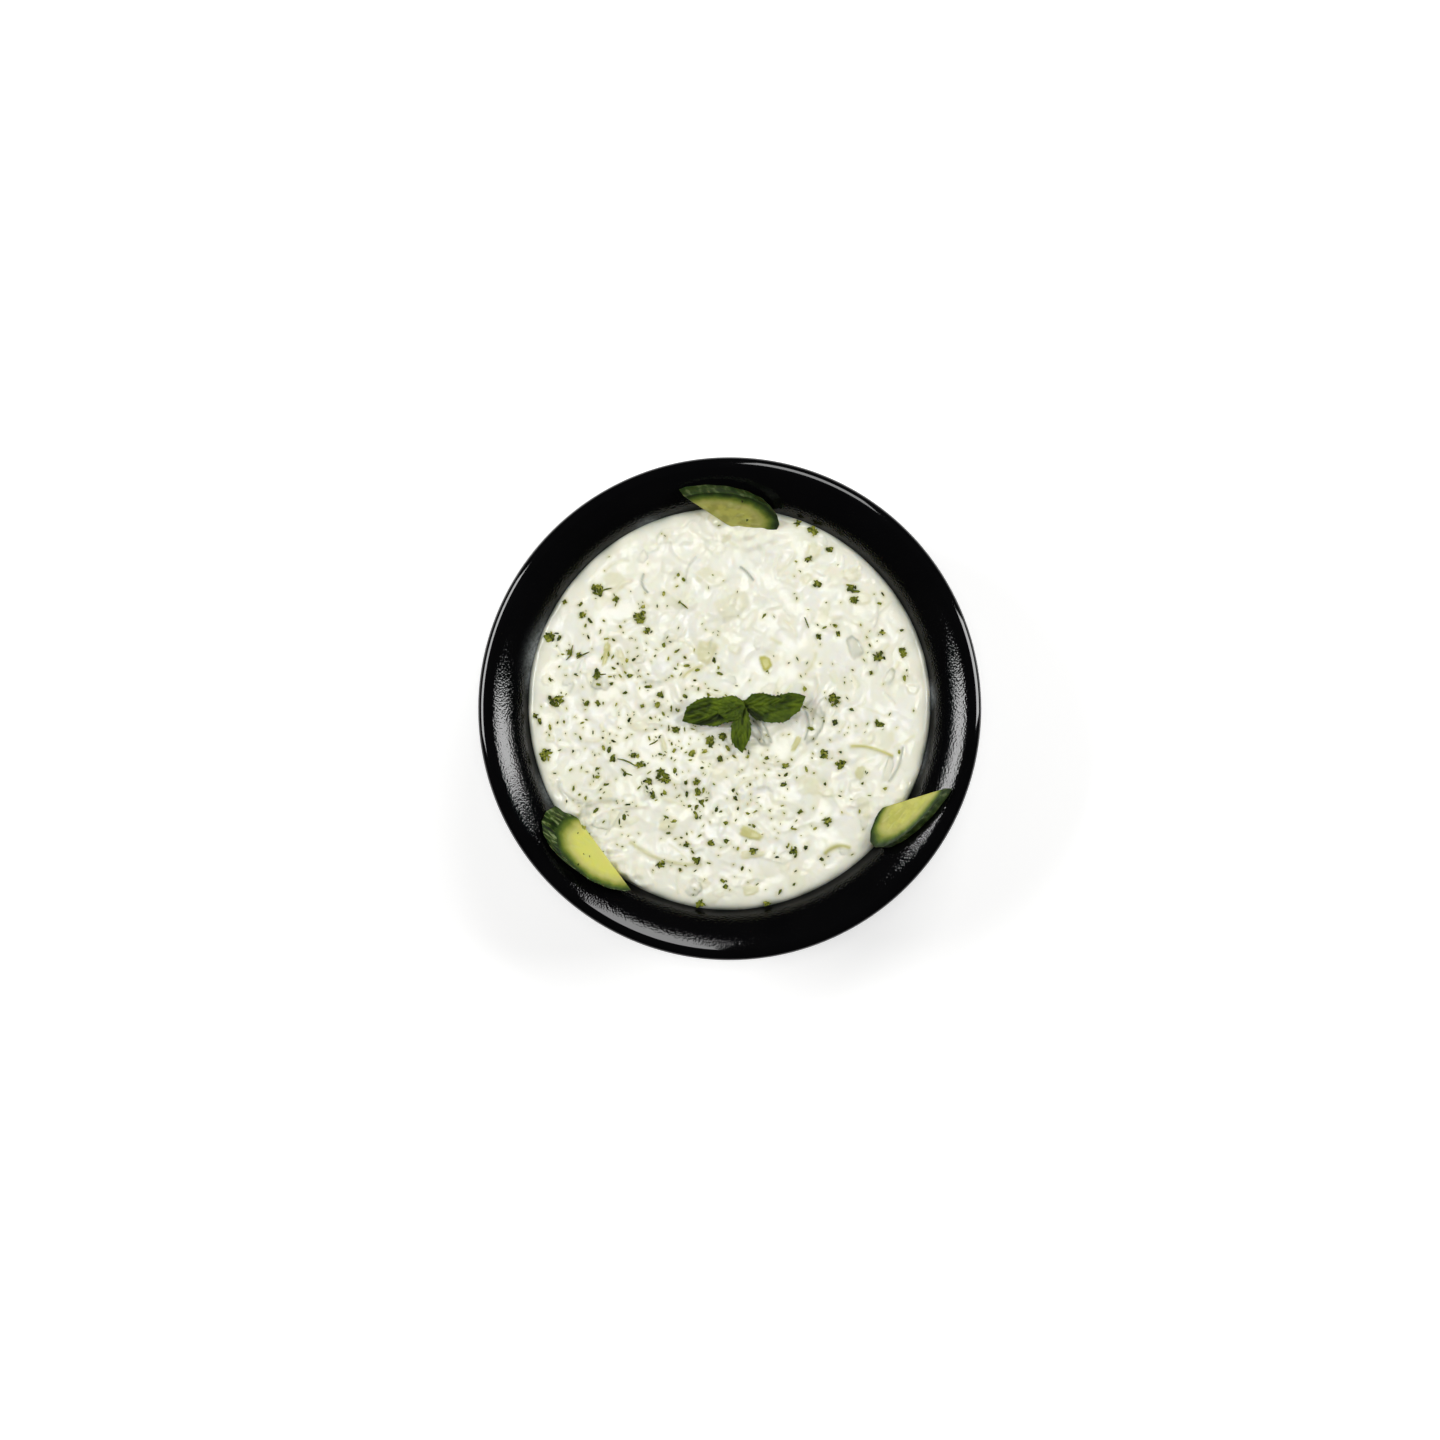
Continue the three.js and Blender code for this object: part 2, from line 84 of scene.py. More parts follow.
# %% [markdown]
# ## Small helpers
# A node tree is easier to read when each node is one line. `node` adds a node and fills its
# sockets: a number or colour is set, and another node's socket is linked. `arithmetic` is the
# same for the Math node, which does most of the work in a tree, and `new_group` starts a group
# of nodes with named inputs. The mesh helpers take millimetres, and can keep numbers on a
# mesh's points for a tree or a material to read. The last helpers make things uneven, with
# draws that come out the same each time: swells, and places spread over a disc.


# %% Helpers for node trees
def node(tree, kind, inputs=None, **settings):
    made = tree.nodes.new(kind)
    for name, value in settings.items():
        setattr(made, name, value)
    for name, value in (inputs or {}).items():
        if isinstance(value, bpy.types.NodeSocket):
            tree.links.new(value, made.inputs[name])
        else:
            made.inputs[name].default_value = value
    return made


def arithmetic(tree, operation, first, second=0.0, clamp=False):
    made = node(tree, "ShaderNodeMath", {0: first, 1: second}, operation=operation,
                use_clamp=clamp)
    return made.outputs[0]


def rescale(tree, value, from_low, from_high, to_low=0.0, to_high=1.0):
    """Maps a range of values on another, smoothly and without going past its ends."""
    ends = {"From Min": from_low, "From Max": from_high, "To Min": to_low, "To Max": to_high}
    made = node(tree, "ShaderNodeMapRange", {"Value": value, **ends},
                interpolation_type="SMOOTHSTEP")
    return made.outputs[0]


def blend_numbers(tree, share, first, second):
    """Goes from the first number to the second as the share goes from 0 to 1."""
    made = node(tree, "ShaderNodeMix", {"Factor": share, 2: first, 3: second}, data_type="FLOAT")
    return made.outputs[0]


def blend_colours(tree, share, first, second):
    """The same for two colours, which have sockets of their own on the Mix node."""
    made = node(tree, "ShaderNodeMix", {"Factor": share, 6: first, 7: second}, data_type="RGBA")
    return made.outputs[2]


def combine(tree, x=0.0, y=0.0, z=0.0):
    return node(tree, "ShaderNodeCombineXYZ", {"X": x, "Y": y, "Z": z}).outputs[0]


def new_group(kind, name, inputs, output):
    """A node group and its ends. Each input has either its kind or its usual number; the output
    has its name and kind."""
    group = bpy.data.node_groups.new(name, kind)
    for label, value in inputs.items():
        if isinstance(value, str):
            group.interface.new_socket(label, in_out="INPUT", socket_type="NodeSocket" + value)
        else:
            number = "Int" if isinstance(value, int) else "Float"
            socket = group.interface.new_socket(
                label, in_out="INPUT", socket_type="NodeSocket" + number)
            socket.default_value = value
    given_out, kind_out = output
    group.interface.new_socket(given_out, in_out="OUTPUT", socket_type="NodeSocket" + kind_out)
    return group, node(group, "NodeGroupInput"), node(group, "NodeGroupOutput")


def colour_of(red, green, blue):
    """A colour from 0 to 255, as a screen shows it, in the linear values that shaders use."""
    shares = [channel / 255 for channel in (red, green, blue)]
    linear = [s / 12.92 if s <= 0.04045 else ((s + 0.055) / 1.055) ** 2.4 for s in shares]
    return (*linear, 1.0)


# %% Helpers for meshes
ML_PER_CUBIC_METRE = 1e6


def keep_on_points(mesh, **values):
    """Keeps one number on each point of a mesh, for each key."""
    for key, column in values.items():
        kept = mesh.attributes.new(key, "FLOAT", "POINT")
        kept.data.foreach_set("value", np.asarray(column, np.float32))


def mesh_from(name, points, faces=(), edges=(), **values):
    """A mesh from points in millimetres; `values` are numbers kept on its points."""
    mesh = bpy.data.meshes.new(name)
    faces = faces.tolist() if isinstance(faces, np.ndarray) else faces
    mesh.from_pydata((np.asarray(points, float) * MM).tolist(), edges, faces)
    keep_on_points(mesh, **values)
    return mesh


def points_of(mesh):
    """The places of a mesh's points, in metres."""
    places = np.zeros(len(mesh.vertices) * 3)
    mesh.vertices.foreach_get("co", places)
    return places.reshape(-1, 3)


def piece_from(name, mesh, material, smooth=True):
    piece = bpy.data.objects.new(name, mesh)
    scene.collection.objects.link(piece)
    if material is not None:
        mesh.materials.clear()
        mesh.materials.append(material)
    if smooth:
        mesh.shade_smooth()
    return piece


def volume_of(mesh):
    """Millilitres inside a closed mesh: positive when its faces point outwards."""
    mesh.calc_loop_triangles()
    corners = np.zeros(len(mesh.loop_triangles) * 3, int)
    mesh.loop_triangles.foreach_get("vertices", corners)
    places = points_of(mesh)
    a, b, c = (places[corner] for corner in corners.reshape(-1, 3).T)
    return float((a * np.cross(b, c)).sum() / 6) * ML_PER_CUBIC_METRE


def face_outwards(mesh):
    if volume_of(mesh) < 0:
        mesh.flip_normals()
    return mesh


# %% Helpers for uneven shapes
GOLDEN_ANGLE = math.pi * (3 - math.sqrt(5))


def draw(number, series):
    """A repeatable draw between 0 and 1: a number of a numbered series."""
    value = np.sin(np.asarray(number) * 12.9898 + series * 78.233) * 43758.5453
    return value - np.floor(value)


def between(ends, share):
    return ends[0] + (ends[1] - ends[0]) * share


def smooth_step(low, high, value):
    share = np.clip((value - low) / (high - low), 0, 1)
    return share * share * (3 - 2 * share)


def ripple(x, y, size, series, waves=9):
    """Even-sized random swells, about `size` millimetres apart and one high."""
    total = np.zeros(np.broadcast(x, y).shape)
    for i in range(waves):
        heading = 2 * math.pi * (i + draw(i, series)) / waves
        pace = 2 * math.pi / size * (0.7 + 0.6 * draw(i, series + 0.5))
        phase = 2 * math.pi * draw(i, series + 0.25)
        total += np.sin(pace * (x * math.cos(heading) + y * math.sin(heading)) + phase)
    return total / math.sqrt(waves)


def scattered(i, count, field, swing, series, start=0):
    """Place number i of `count` spread evenly over a disc, in a spiral like a sunflower's seeds."""
    angle = i * GOLDEN_ANGLE + start + swing * draw(i, series)
    reach = field * math.sqrt((i + draw(i, series + 1)) / count)
    return reach * math.cos(angle), reach * math.sin(angle)


def segment_distance(x, y, start, end):
    """Distance from places to the straight line between two points of the plan."""
    step_x, step_y = end[0] - start[0], end[1] - start[1]
    share = np.clip(((x - start[0]) * step_x + (y - start[1]) * step_y)
                    / (step_x**2 + step_y**2), 0, 1)
    return np.hypot(x - start[0] - share * step_x, y - start[1] - share * step_y)


# %% [markdown]
# ## Effects that several finishes share
# Food and moulded plastic are never one flat colour or one flat level. Two node groups carry
# that: `mottle` gives slow patches between 0 and 1, for a colour to drift by, and `grain`
# gives a fine unevenness, for a Bump node. Both read Object coordinates, so the patches have a
# real size in millimetres whatever piece they are on.


# %% Mottle and grain
def shader_group(name, numbers):
    """A group that takes a place and some numbers, and gives out one number."""
    return new_group("ShaderNodeTree", name, {"Place": "Vector", **numbers}, ("Value", "Float"))


def make_mottle():
    group, given, result = shader_group("mottle", {"Size mm": 8.0, "Contrast": 2.0})
    scale = arithmetic(group, "DIVIDE", 1000.0, given.outputs["Size mm"])
    noise = node(group, "ShaderNodeTexNoise", {
        "Vector": given.outputs["Place"], "Scale": scale, "Detail": 2.5})
    centred = arithmetic(group, "SUBTRACT", noise.outputs["Fac"], 0.5)
    stretched = arithmetic(group, "MULTIPLY", centred, given.outputs["Contrast"])
    patches = arithmetic(group, "ADD", stretched, 0.5, clamp=True)
    group.links.new(patches, result.inputs["Value"])
    return group


def make_grain():
    group, given, result = shader_group("grain", {"Size mm": 0.8, "Sharpness": 0.5})
    scale = arithmetic(group, "DIVIDE", 1000.0, given.outputs["Size mm"])
    lookup = {"Vector": given.outputs["Place"], "Scale": scale}
    soft = node(group, "ShaderNodeTexNoise", {**lookup, "Detail": 2.0})
    cells = node(group, "ShaderNodeTexVoronoi", lookup)
    mixed = blend_numbers(group, given.outputs["Sharpness"], soft.outputs["Fac"],
                          cells.outputs["Distance"])
    group.links.new(mixed, result.inputs["Value"])
    return group


MOTTLE = make_mottle()
GRAIN = make_grain()
print("shared effects:", MOTTLE.name, GRAIN.name)


# %% Helpers for finishes
def effect(tree, group, place, **numbers):
    numbers = {label.replace("_", " "): value for label, value in numbers.items()}
    made = node(tree, "ShaderNodeGroup", {"Place": place, **numbers}, node_tree=group)
    return made.outputs["Value"]


def finish(name, **constants):
    """A new material: its tree, its shader and the socket of its Object coordinates."""
    material = bpy.data.materials.new(name)
    material.use_nodes = True
    tree = material.node_tree
    shader = tree.nodes["Principled BSDF"]
    for label, value in constants.items():
        shader.inputs[label.replace("_", " ")].default_value = value
    place = node(tree, "ShaderNodeTexCoord").outputs["Object"]
    return material, tree, shader, place


def bump(tree, shader, height, depth_mm):
    made = node(tree, "ShaderNodeBump", {
        "Height": height, "Distance": depth_mm * MM, "Strength": 1.0})
    tree.links.new(made.outputs["Normal"], shader.inputs["Normal"])


def feed(tree, shader, **sockets):
    """Links sockets to the shader's inputs; an underscore stands for a space."""
    for label, socket in sockets.items():
        tree.links.new(socket, shader.inputs[label.replace("_", " ")])


def kept_value(tree, key):
    return node(tree, "ShaderNodeAttribute", attribute_name=key).outputs["Fac"]


# %% [markdown]
# ## The bowl
# A melamine bowl is pressed in a turned steel mould, so its shape follows one rule: a section
# swept once round the axis. It could be made with the Screw modifier or Spin. Here a Geometry
# Nodes tree turns the section, because the number of segments then stays an input, and each
# point of the section can hand its own polish to the surface. The inside runs flat, turns up
# round a corner, climbs straight and flares out in an arc to the crest; a point there is named
# by its slope, and the outside lies one wall further out.


# %% The section
def corner_point(slope, off):
    reach = CORNER_RADIUS + off
    return (FLOOR_RADIUS + reach * math.sin(slope),
            FLOOR_TOP + CORNER_RADIUS - reach * math.cos(slope))


def flare_point(slope, off):
    radius = FLARE_RADIUS + FLARE * (math.sin(WALL_SLOPE) - math.sin(slope))
    height = BOWL_HEIGHT - FLARE * (math.cos(CREST_SLOPE) - math.cos(slope))
    return radius + off * math.sin(slope), height - off * math.cos(slope)


def steps(start, end, count, point):
    return [point(start + (end - start) * i / count) for i in range(count + 1)]


def bowl_section():
    """Points [radius, height, polish] from the middle of the floor, over the lip, to the foot."""
    lip_curve, edge_turn, lip_round, lip_drop = 4.5, 1.95, 1.6, 3.6
    lip_start, lip_steeper, edge_slope, below_lip = (math.radians(a) for a in (5.6, 14, 32, 35))
    width_left = LIP_WIDTH - edge_turn * (1 - math.sin(edge_slope)) - lip_curve * (
        math.sin(edge_slope) - math.sin(lip_steeper))
    lip_gentle = width_left / (math.sin(lip_steeper) - math.sin(lip_start))
    foot_outer, foot_inner, foot_height, recess = 45, 41, 4.5, 2.6
    foot_slope = math.acos((FLOOR_TOP + CORNER_RADIUS - foot_height) / (CORNER_RADIUS + WALL))
    straight_radii, straight_heights = (CORNER_TOP_RADIUS, FLARE_RADIUS), (CORNER_TOP, FLARE_START)
    inside = [(r, FLOOR_TOP) for r in (0, 8, 16, 24, 32)]
    inside += steps(0, WALL_SLOPE, 18, lambda s: corner_point(s, 0))
    inside += steps(0.1, 0.9, 8, lambda t: (between(straight_radii, t),
                                            between(straight_heights, t)))
    inside += steps(WALL_SLOPE, CREST_SLOPE, 26, lambda s: flare_point(s, 0))

    def round_from(radius, height, start, bend):
        """An arc that starts at a point with one slope and steepens to another."""
        return lambda t: (radius + bend * (math.sin(t) - math.sin(start)),
                          height - bend * (math.cos(start) - math.cos(t)))

    lip = steps(lip_start, lip_steeper, 6, round_from(CREST_RADIUS, BOWL_HEIGHT, lip_start,
                                                      lip_gentle))[1:]
    lip += steps(lip_steeper, edge_slope, 12, round_from(*lip[-1], lip_steeper, lip_curve))[1:]
    lip += steps(edge_slope, math.pi / 2, 8, round_from(*lip[-1], edge_slope, edge_turn))[1:]
    lip += steps(0, math.pi / 2, 7, lambda a: (BOWL_RADIUS - lip_round * (1 - math.cos(a)),
                                               BOWL_HEIGHT - lip_drop - lip_round * math.sin(a)))
    outside = steps(below_lip, WALL_SLOPE, 14, lambda s: flare_point(s, WALL))
    outside += steps(WALL_SLOPE, foot_slope, 14, lambda s: corner_point(s, WALL))
    foot = [(foot_outer + 0.5, 0.6), (foot_outer, 0), (foot_inner + 0.5, 0)]
    foot += [(r, recess) for r in (foot_inner, 24, 8, 0)]
    satin, polished, fading = 0.0, 1.0, (0.25, 0.5, 0.75, 1.0)
    section = [(*p, satin) for p in inside[:-len(fading)]]
    section += [(*p, share) for p, share in zip(inside[-len(fading):], fading)]
    section += [(*p, polished) for p in lip + outside + foot]
    return np.array(section)


section = bowl_section()
print(len(section), "points in the section, up to radius", round(float(section[:, 0].max()), 2))


# %% Helpers for Geometry Nodes trees
def geometry_tree(name, numbers):
    """A Geometry Nodes tree that takes geometry, some numbers and a finish, and gives geometry."""
    return new_group("GeometryNodeTree", name, {
        "Geometry": "Geometry", **numbers, "Finish": "Material"}, ("Geometry", "Geometry"))


def named_value(group, key):
    made = node(group, "GeometryNodeInputNamedAttribute", {"Name": key}, data_type="FLOAT")
    return made.outputs["Attribute"]


def sampled(group, geometry, value, index, kind):
    """What a value is at one numbered point of some geometry."""
    made = node(group, "GeometryNodeSampleIndex", {
        "Geometry": geometry, "Value": value, "Index": index}, data_type=kind, domain="POINT")
    return made.outputs["Value"]


def stored(group, geometry, key, value):
    """The same geometry, with a number kept on each of its points."""
    made = node(group, "GeometryNodeStoreNamedAttribute", {
        "Geometry": geometry, "Name": key, "Value": value}, data_type="FLOAT", domain="POINT")
    return made.outputs["Geometry"]


def end_tree(group, geometry, given, result):
    """The end that every tree here has: real geometry, with its material on it."""
    real = node(group, "GeometryNodeRealizeInstances", {"Geometry": geometry})
    dressed = node(group, "GeometryNodeSetMaterial", {"Geometry": real.outputs["Geometry"]})
    group.links.new(given.outputs["Finish"], dressed.inputs["Material"])
    group.links.new(dressed.outputs["Geometry"], result.inputs["Geometry"])


# %% A tree that turns a section round the Z axis
def turned_section_tree():
    group, given, result = geometry_tree("turned section", {
        "Segments": 96, "Weld distance": 0.02 * MM})
    section_in, segments = given.outputs["Geometry"], given.outputs["Segments"]
    size = node(group, "GeometryNodeAttributeDomainSize", {"Geometry": section_in})
    rows = size.outputs["Point Count"]
    columns = arithmetic(group, "ADD", segments, 1.0)
    grid = node(group, "GeometryNodeMeshGrid", {"Vertices X": columns, "Vertices Y": rows})
    index = node(group, "GeometryNodeInputIndex").outputs["Index"]
    column = arithmetic(group, "FLOOR", arithmetic(group, "DIVIDE", index, rows))
    row = arithmetic(group, "MODULO", index, rows)
    angle = arithmetic(group, "DIVIDE", column, segments)
    angle = arithmetic(group, "MULTIPLY", angle, 2 * math.pi)
    position = node(group, "GeometryNodeInputPosition").outputs["Position"]
    corner = sampled(group, section_in, position, row, "FLOAT_VECTOR")
    apart = node(group, "ShaderNodeSeparateXYZ", {"Vector": corner})
    radius, height = apart.outputs["X"], apart.outputs["Z"]
    east = arithmetic(group, "MULTIPLY", radius, arithmetic(group, "COSINE", angle))
    north = arithmetic(group, "MULTIPLY", radius, arithmetic(group, "SINE", angle))
    moved = node(group, "GeometryNodeSetPosition", {
        "Geometry": grid.outputs["Mesh"], "Position": combine(group, east, north, height)})
    polish = sampled(group, section_in, named_value(group, "polish"), row, "FLOAT")
    welded = node(group, "GeometryNodeMergeByDistance", {
        "Geometry": stored(group, moved.outputs["Geometry"], "polish", polish),
        "Distance": given.outputs["Weld distance"]})
    end_tree(group, welded.outputs["Geometry"], given, result)
    return group


# %% Run a tree
def made_by(tree, name, mesh, inputs):
    """Runs a tree on a mesh and keeps the outcome as a plain mesh."""
    piece = bpy.data.objects.new(name, mesh)
    scene.collection.objects.link(piece)
    modifier = piece.modifiers.new("shape", "NODES")
    modifier.node_group = tree
    for item in tree.interface.items_tree:
        if item.item_type == "SOCKET" and item.in_out == "INPUT" and item.name in inputs:
            modifier[item.identifier] = inputs[item.name]
    shaped = piece.evaluated_get(bpy.context.evaluated_depsgraph_get())
    plain = bpy.data.meshes.new_from_object(shaped)
    piece.modifiers.clear()
    piece.data = plain
    plain.name = name
    return piece


# %% [markdown]
# The bowl's finish is black all over, but not equally smooth. The inside has a fine satin
# grain, which spreads a lamp's reflection into a soft band, and the lip and the outside are
# polished, so they show it as a thin line. One Principled shader does both: the polish that
# each point carries picks the roughness and fades the grain's bump out. A second value,
# `film`, lightens the wall where yogurt was smeared on it, and paints highlights
# along the contact line for the glints of the dip's wet edge.


# %% Black melamine
def black_melamine():
    material, tree, shader, place = finish("black_melamine", IOR=1.5)
    polish = kept_value(tree, "polish")
    patches = effect(tree, MOTTLE, place, Size_mm=14.0, Contrast=1.5)
    colour = blend_colours(tree, patches, colour_of(6, 6, 7), colour_of(9, 9, 10))
    streaks = rescale(tree, effect(tree, MOTTLE, place, Size_mm=1.2, Contrast=2.5), 0, 1, 0.5, 1)
    # Smeared yogurt lightens the black, and so do painted highlights for the glints along the contact
    # line.
    film = arithmetic(tree, "MULTIPLY", kept_value(tree, "film"), streaks)
    colour = blend_colours(tree, film, colour, colour_of(176, 184, 186))
    satin = rescale(tree, patches, 0.0, 1.0, 0.055, 0.075)
    gloss = arithmetic(tree, "MULTIPLY", satin, 0.75)
    feed(tree, shader, Base_Color=colour, Roughness=blend_numbers(tree, polish, satin, gloss))
    grain = effect(tree, GRAIN, place, Size_mm=0.7, Sharpness=0.55)
    unpolished = arithmetic(tree, "SUBTRACT", 1.0, polish)
    bump(tree, shader, arithmetic(tree, "MULTIPLY", grain, unpolished), 0.08)
    return material


# %% Turn the bowl
section_mesh = mesh_from("bowl section", [(r, 0, z) for r, z, _ in section], polish=section[:, 2])
bowl = made_by(turned_section_tree(), "melamine_bowl", section_mesh,
               {"Segments": 288, "Weld distance": 0.02 * MM, "Finish": black_melamine()})
face_outwards(bowl.data)
bowl.data.shade_smooth()
bowl.data.set_sharp_from_angle(angle=math.radians(20))
print(f"bowl: {len(bowl.data.polygons)} faces, {volume_of(bowl.data):.0f} ml of melamine")

# %% [markdown]
# ## The dip
# Thick yogurt is a height field: one level for every place in the bowl. It is worked out on
# rings of points, six more in each ring than in the last, so that the faces keep about one
# size. Towards the wall the rings lie closer together, because the surface bends more there.
# The surface adds up what a spoon and the grated cucumber leave behind: broad lumps, swells
# against the slices, soft ripples, bumps over chunks and ridges over shreds. At the wall it
# rolls down to the line where it clings.

# %% The surface's broad form
CONTACT_LEVEL = 38.9
# Waves of the contact line: (waves round the bowl, height, phase).
CONTACT_WAVES = [(1, 0.45, -2.13), (3, 0.3, -1.07), (7, 0.15, -1.57)]
EDGE_ROLL = 0.9
# How far into the dip the grey at the wall reaches, in mm: partly the yogurt thinning over the black,
# partly painted shade.
EDGE_SHADE_REACH = 1.8
INTO_WALL = 0.15
LUMPS = 110
LUMP_FIELD = 68
LUMP_WIDTH = (3, 8)
LUMP_LIFT = (-0.455, 0.65)
SWELL_WIDTH = 6
# Where the yogurt covers a tip of the left slice: (x, y, width, lift).
COVERED_TIP = (-57.0, -35.5, 3.6, 1.9)
# Besides its arrows a slice has a swell, for how high the yogurt laps up to it, and two shares:
# how much darker and greener its flesh is drawn, and how clearly its skin is streaked.
SLICES = {
    "left": {"middle": (-45.3, -51.6, 44.35), "along": (10.3, -13.8, 1.5),
             "across": (-13.5, -1.15, 10), "through": (-5.2, 3.3, -4.5),
             "swell": 2.2, "ripe": 0.0, "streaky": 1.0},
    "back": {"middle": (-3.3, 67.7, 43.0), "along": (13.2, -7.95, -8),
             "across": (16.7, 4.75, 7), "through": (-1.95, 3.05, -3.4),
             "swell": 1, "ripe": 1.0, "streaky": 0.35},
    "right": {"middle": (65.5, -32.0, 47.6), "along": (-11.2, -3.8, -6),
              "across": (-10.4, -17.4, 0), "through": (2.95, -0.3, -3.5),
              "swell": 1, "ripe": 0.6, "streaky": 0.4},
}


def contact_level(angle):
    return CONTACT_LEVEL + sum(h * np.cos(w * angle + p) for w, h, p in CONTACT_WAVES)


def contact_rim(angle):
    """Radius and height of the line where the dip meets the wall."""
    level = contact_level(angle)
    slope = np.arccos((level - BOWL_HEIGHT + FLARE * math.cos(CREST_SLOPE)) / (FLARE - INTO_WALL))
    radius = FLARE_RADIUS + FLARE * (math.sin(WALL_SLOPE) - np.sin(slope))
    return radius + INTO_WALL * np.sin(slope), level


def broad_form(x, y):
    height = np.zeros_like(x)
    for i in range(LUMPS):
        lump_x, lump_y = scattered(i, LUMPS, LUMP_FIELD, 1.0, 1)
        away = np.hypot(x - lump_x, y - lump_y) / between(LUMP_WIDTH, draw(i, 3))
        height += between(LUMP_LIFT, draw(i, 4)) * np.exp(-(away**2))
    for slice_ in SLICES.values():
        middle, along = (np.array(slice_[key][:2]) for key in ("middle", "along"))
        away = segment_distance(x, y, middle - along, middle + along) / SWELL_WIDTH
        lap = slice_["swell"] * (1 + 0.3 * ripple(x, y, 5, 60))
        height += lap * np.exp(-(away**2))
    tip_x, tip_y, width, lift = COVERED_TIP
    away = np.hypot(x - tip_x, y - tip_y) / width
    return height + lift * np.exp(-(away**2))


# %% [markdown]
# Chunks of cucumber lie just under the surface. Each one lifts the yogurt into a flat-topped
# bump with a soft edge, and lets its own green or grey-green through the thin cover. The
# shreds do the same along a curve. The ones that stand out are listed one by one, and a seeded
# field of fainter ones fills the rest.

# %% Chunks under the surface
# (x, y, half length, half width, turn in degrees, lift, green, grey)
CHUNKS = [
    (13.0, 16.5, 2.9, 2.0, 112, 0.30, 1.0, 0.0),
    (-44.5, 20.0, 4.6, 1.2, 80, 0.25, 0.75, 0.0),
    (-39.0, 18.0, 4.3, 1.3, 108, 0.45, 0.35, 0.0),
    (-8.5, 20.5, 4.4, 3.6, 74, 0.35, 0.42, 0.0),
    (7.5, -45.0, 4.4, 2.0, -22, 0.40, 0.75, 0.0),
    (8.0, -52.5, 4.6, 1.5, 4, 0.35, 0.40, 0.0),
    (47.0, -23.0, 2.5, 1.7, 75, 0.30, 0.50, 0.0),
    (24.0, -12.5, 3.1, 1.1, 62, 0.25, 0.70, 0.0),
    (-24.0, -12.5, 3.0, 0.9, 105, 0.25, 0.40, 0.0),
    (44.0, 48.5, 3.6, 2.6, 20, 0.45, 0.20, 0.0),
    (30.0, 56.5, 3.4, 2.4, 60, 0.40, 0.22, 0.0),
    (-22.5, -41.5, 3.2, 2.6, 10, 0.35, 0.32, 0.0),
    (7.5, -65.5, 3.0, 1.8, 5, 0.30, 0.40, 0.0),
    (1.0, 37.0, 6.0, 4.2, 30, 0.40, 0.18, 0.1),
    (45.0, 22.0, 4.0, 2.4, 110, 0.40, 0.0, 0.75),
    (-46.0, -41.5, 3.2, 1.8, -5, 0.30, 0.0, 0.65),
    (-13.0, -64.5, 3.0, 2.6, 60, 0.35, 0.0, 0.60),
    (11.0, -8.5, 5.0, 2.7, 122, 0.30, 0.0, 0.6),
    (31.0, -6.0, 6.5, 2.2, 70, 0.35, 0.0, 0.70),
    (-46.5, 9.0, 3.0, 2.2, 0, 0.25, 0.0, 0.55),
    (57.5, 11.5, 3.0, 1.6, 60, 0.30, 0.0, 0.50),
    (57.0, -22.0, 4.6, 1.4, 72, 0.35, 0.0, 0.45),
]
# Shreds: (x, y) at the start, in the middle and at the end, half width, lift, green, grey.
SHREDS = [
    ((44.0, -13.5), (51.0, -14.0), (58.5, -17.0), 0.6, 0.45, 0.9, 0.0),
    ((34.5, -52.0), (38.5, -49.5), (43.0, -50.0), 0.8, 0.45, 0.9, 0.2),
    ((-35.5, -48.0), (-24.0, -54.5), (-10.5, -56.0), 0.7, 0.35, 0.55, 0.1),
    ((-16.5, 11.5), (-14.5, 13.5), (-10.0, 15.5), 0.6, 0.35, 0.7, 0.0),
    ((-61.5, -26.0), (-59.0, -31.0), (-50.0, -34.5), 0.7, 0.65, 0.0, 0.4),
    ((-49.0, -45.5), (-53.0, -36.0), (-41.0, -32.5), 0.8, 0.75, 0.0, 0.3),
    ((-49.0, -39.0), (-42.0, -36.0), (-30.0, -35.0), 0.6, 0.40, 0.1, 0.0),
    ((4.0, 51.0), (6.0, 49.5), (8.5, 46.5), 0.4, 0.30, 0.0, 0.9),
    ((-31.0, 48.5), (-31.5, 45.0), (-29.5, 42.0), 0.4, 0.30, 0.0, 0.8),
    ((62.5, -14.0), (61.0, -20.0), (57.5, -26.0), 0.5, 0.40, 0.0, 0.6),
    ((31.0, 12.0), (31.5, 5.5), (27.5, 0.5), 0.5, 0.45, 0.1, 0.1),
    ((2.5, -30.0), (4.0, -27.0), (9.0, -25.0), 0.6, 0.30, 0.25, 0.0),
    ((8.5, -4.0), (11.0, -8.0), (12.5, -12.5), 0.4, 0.20, 0.0, 0.9),
    ((11.5, -4.5), (13.5, -8.0), (15.0, -12.0), 0.4, 0.20, 0.0, 0.7),
    ((27.5, -1.0), (28.5, -6.0), (27.0, -11.0), 0.4, 0.20, 0.0, 0.7),
]

# %% Fainter chunks and shreds
FAINT_CHUNKS, CHUNK_FIELD = 170, 69
FAINT_SHREDS, SHRED_FIELD = 80, 67


def faint_chunk(i):
    x, y = scattered(i, FAINT_CHUNKS, CHUNK_FIELD, 0.8, 31)
    length = between((1.6, 4.6), draw(i, 33))
    width = length * between((0.35, 0.85), draw(i, 34))
    kind = draw(i, 35)
    green = 0.24 * draw(i, 36) if kind < 0.5 else 0.0
    grey = 0.35 * draw(i, 36) if kind > 0.72 else 0.0
    lift = between((0.04, 0.26), draw(i, 38))
    return x, y, length, width, 180 * draw(i, 37), lift, green, grey


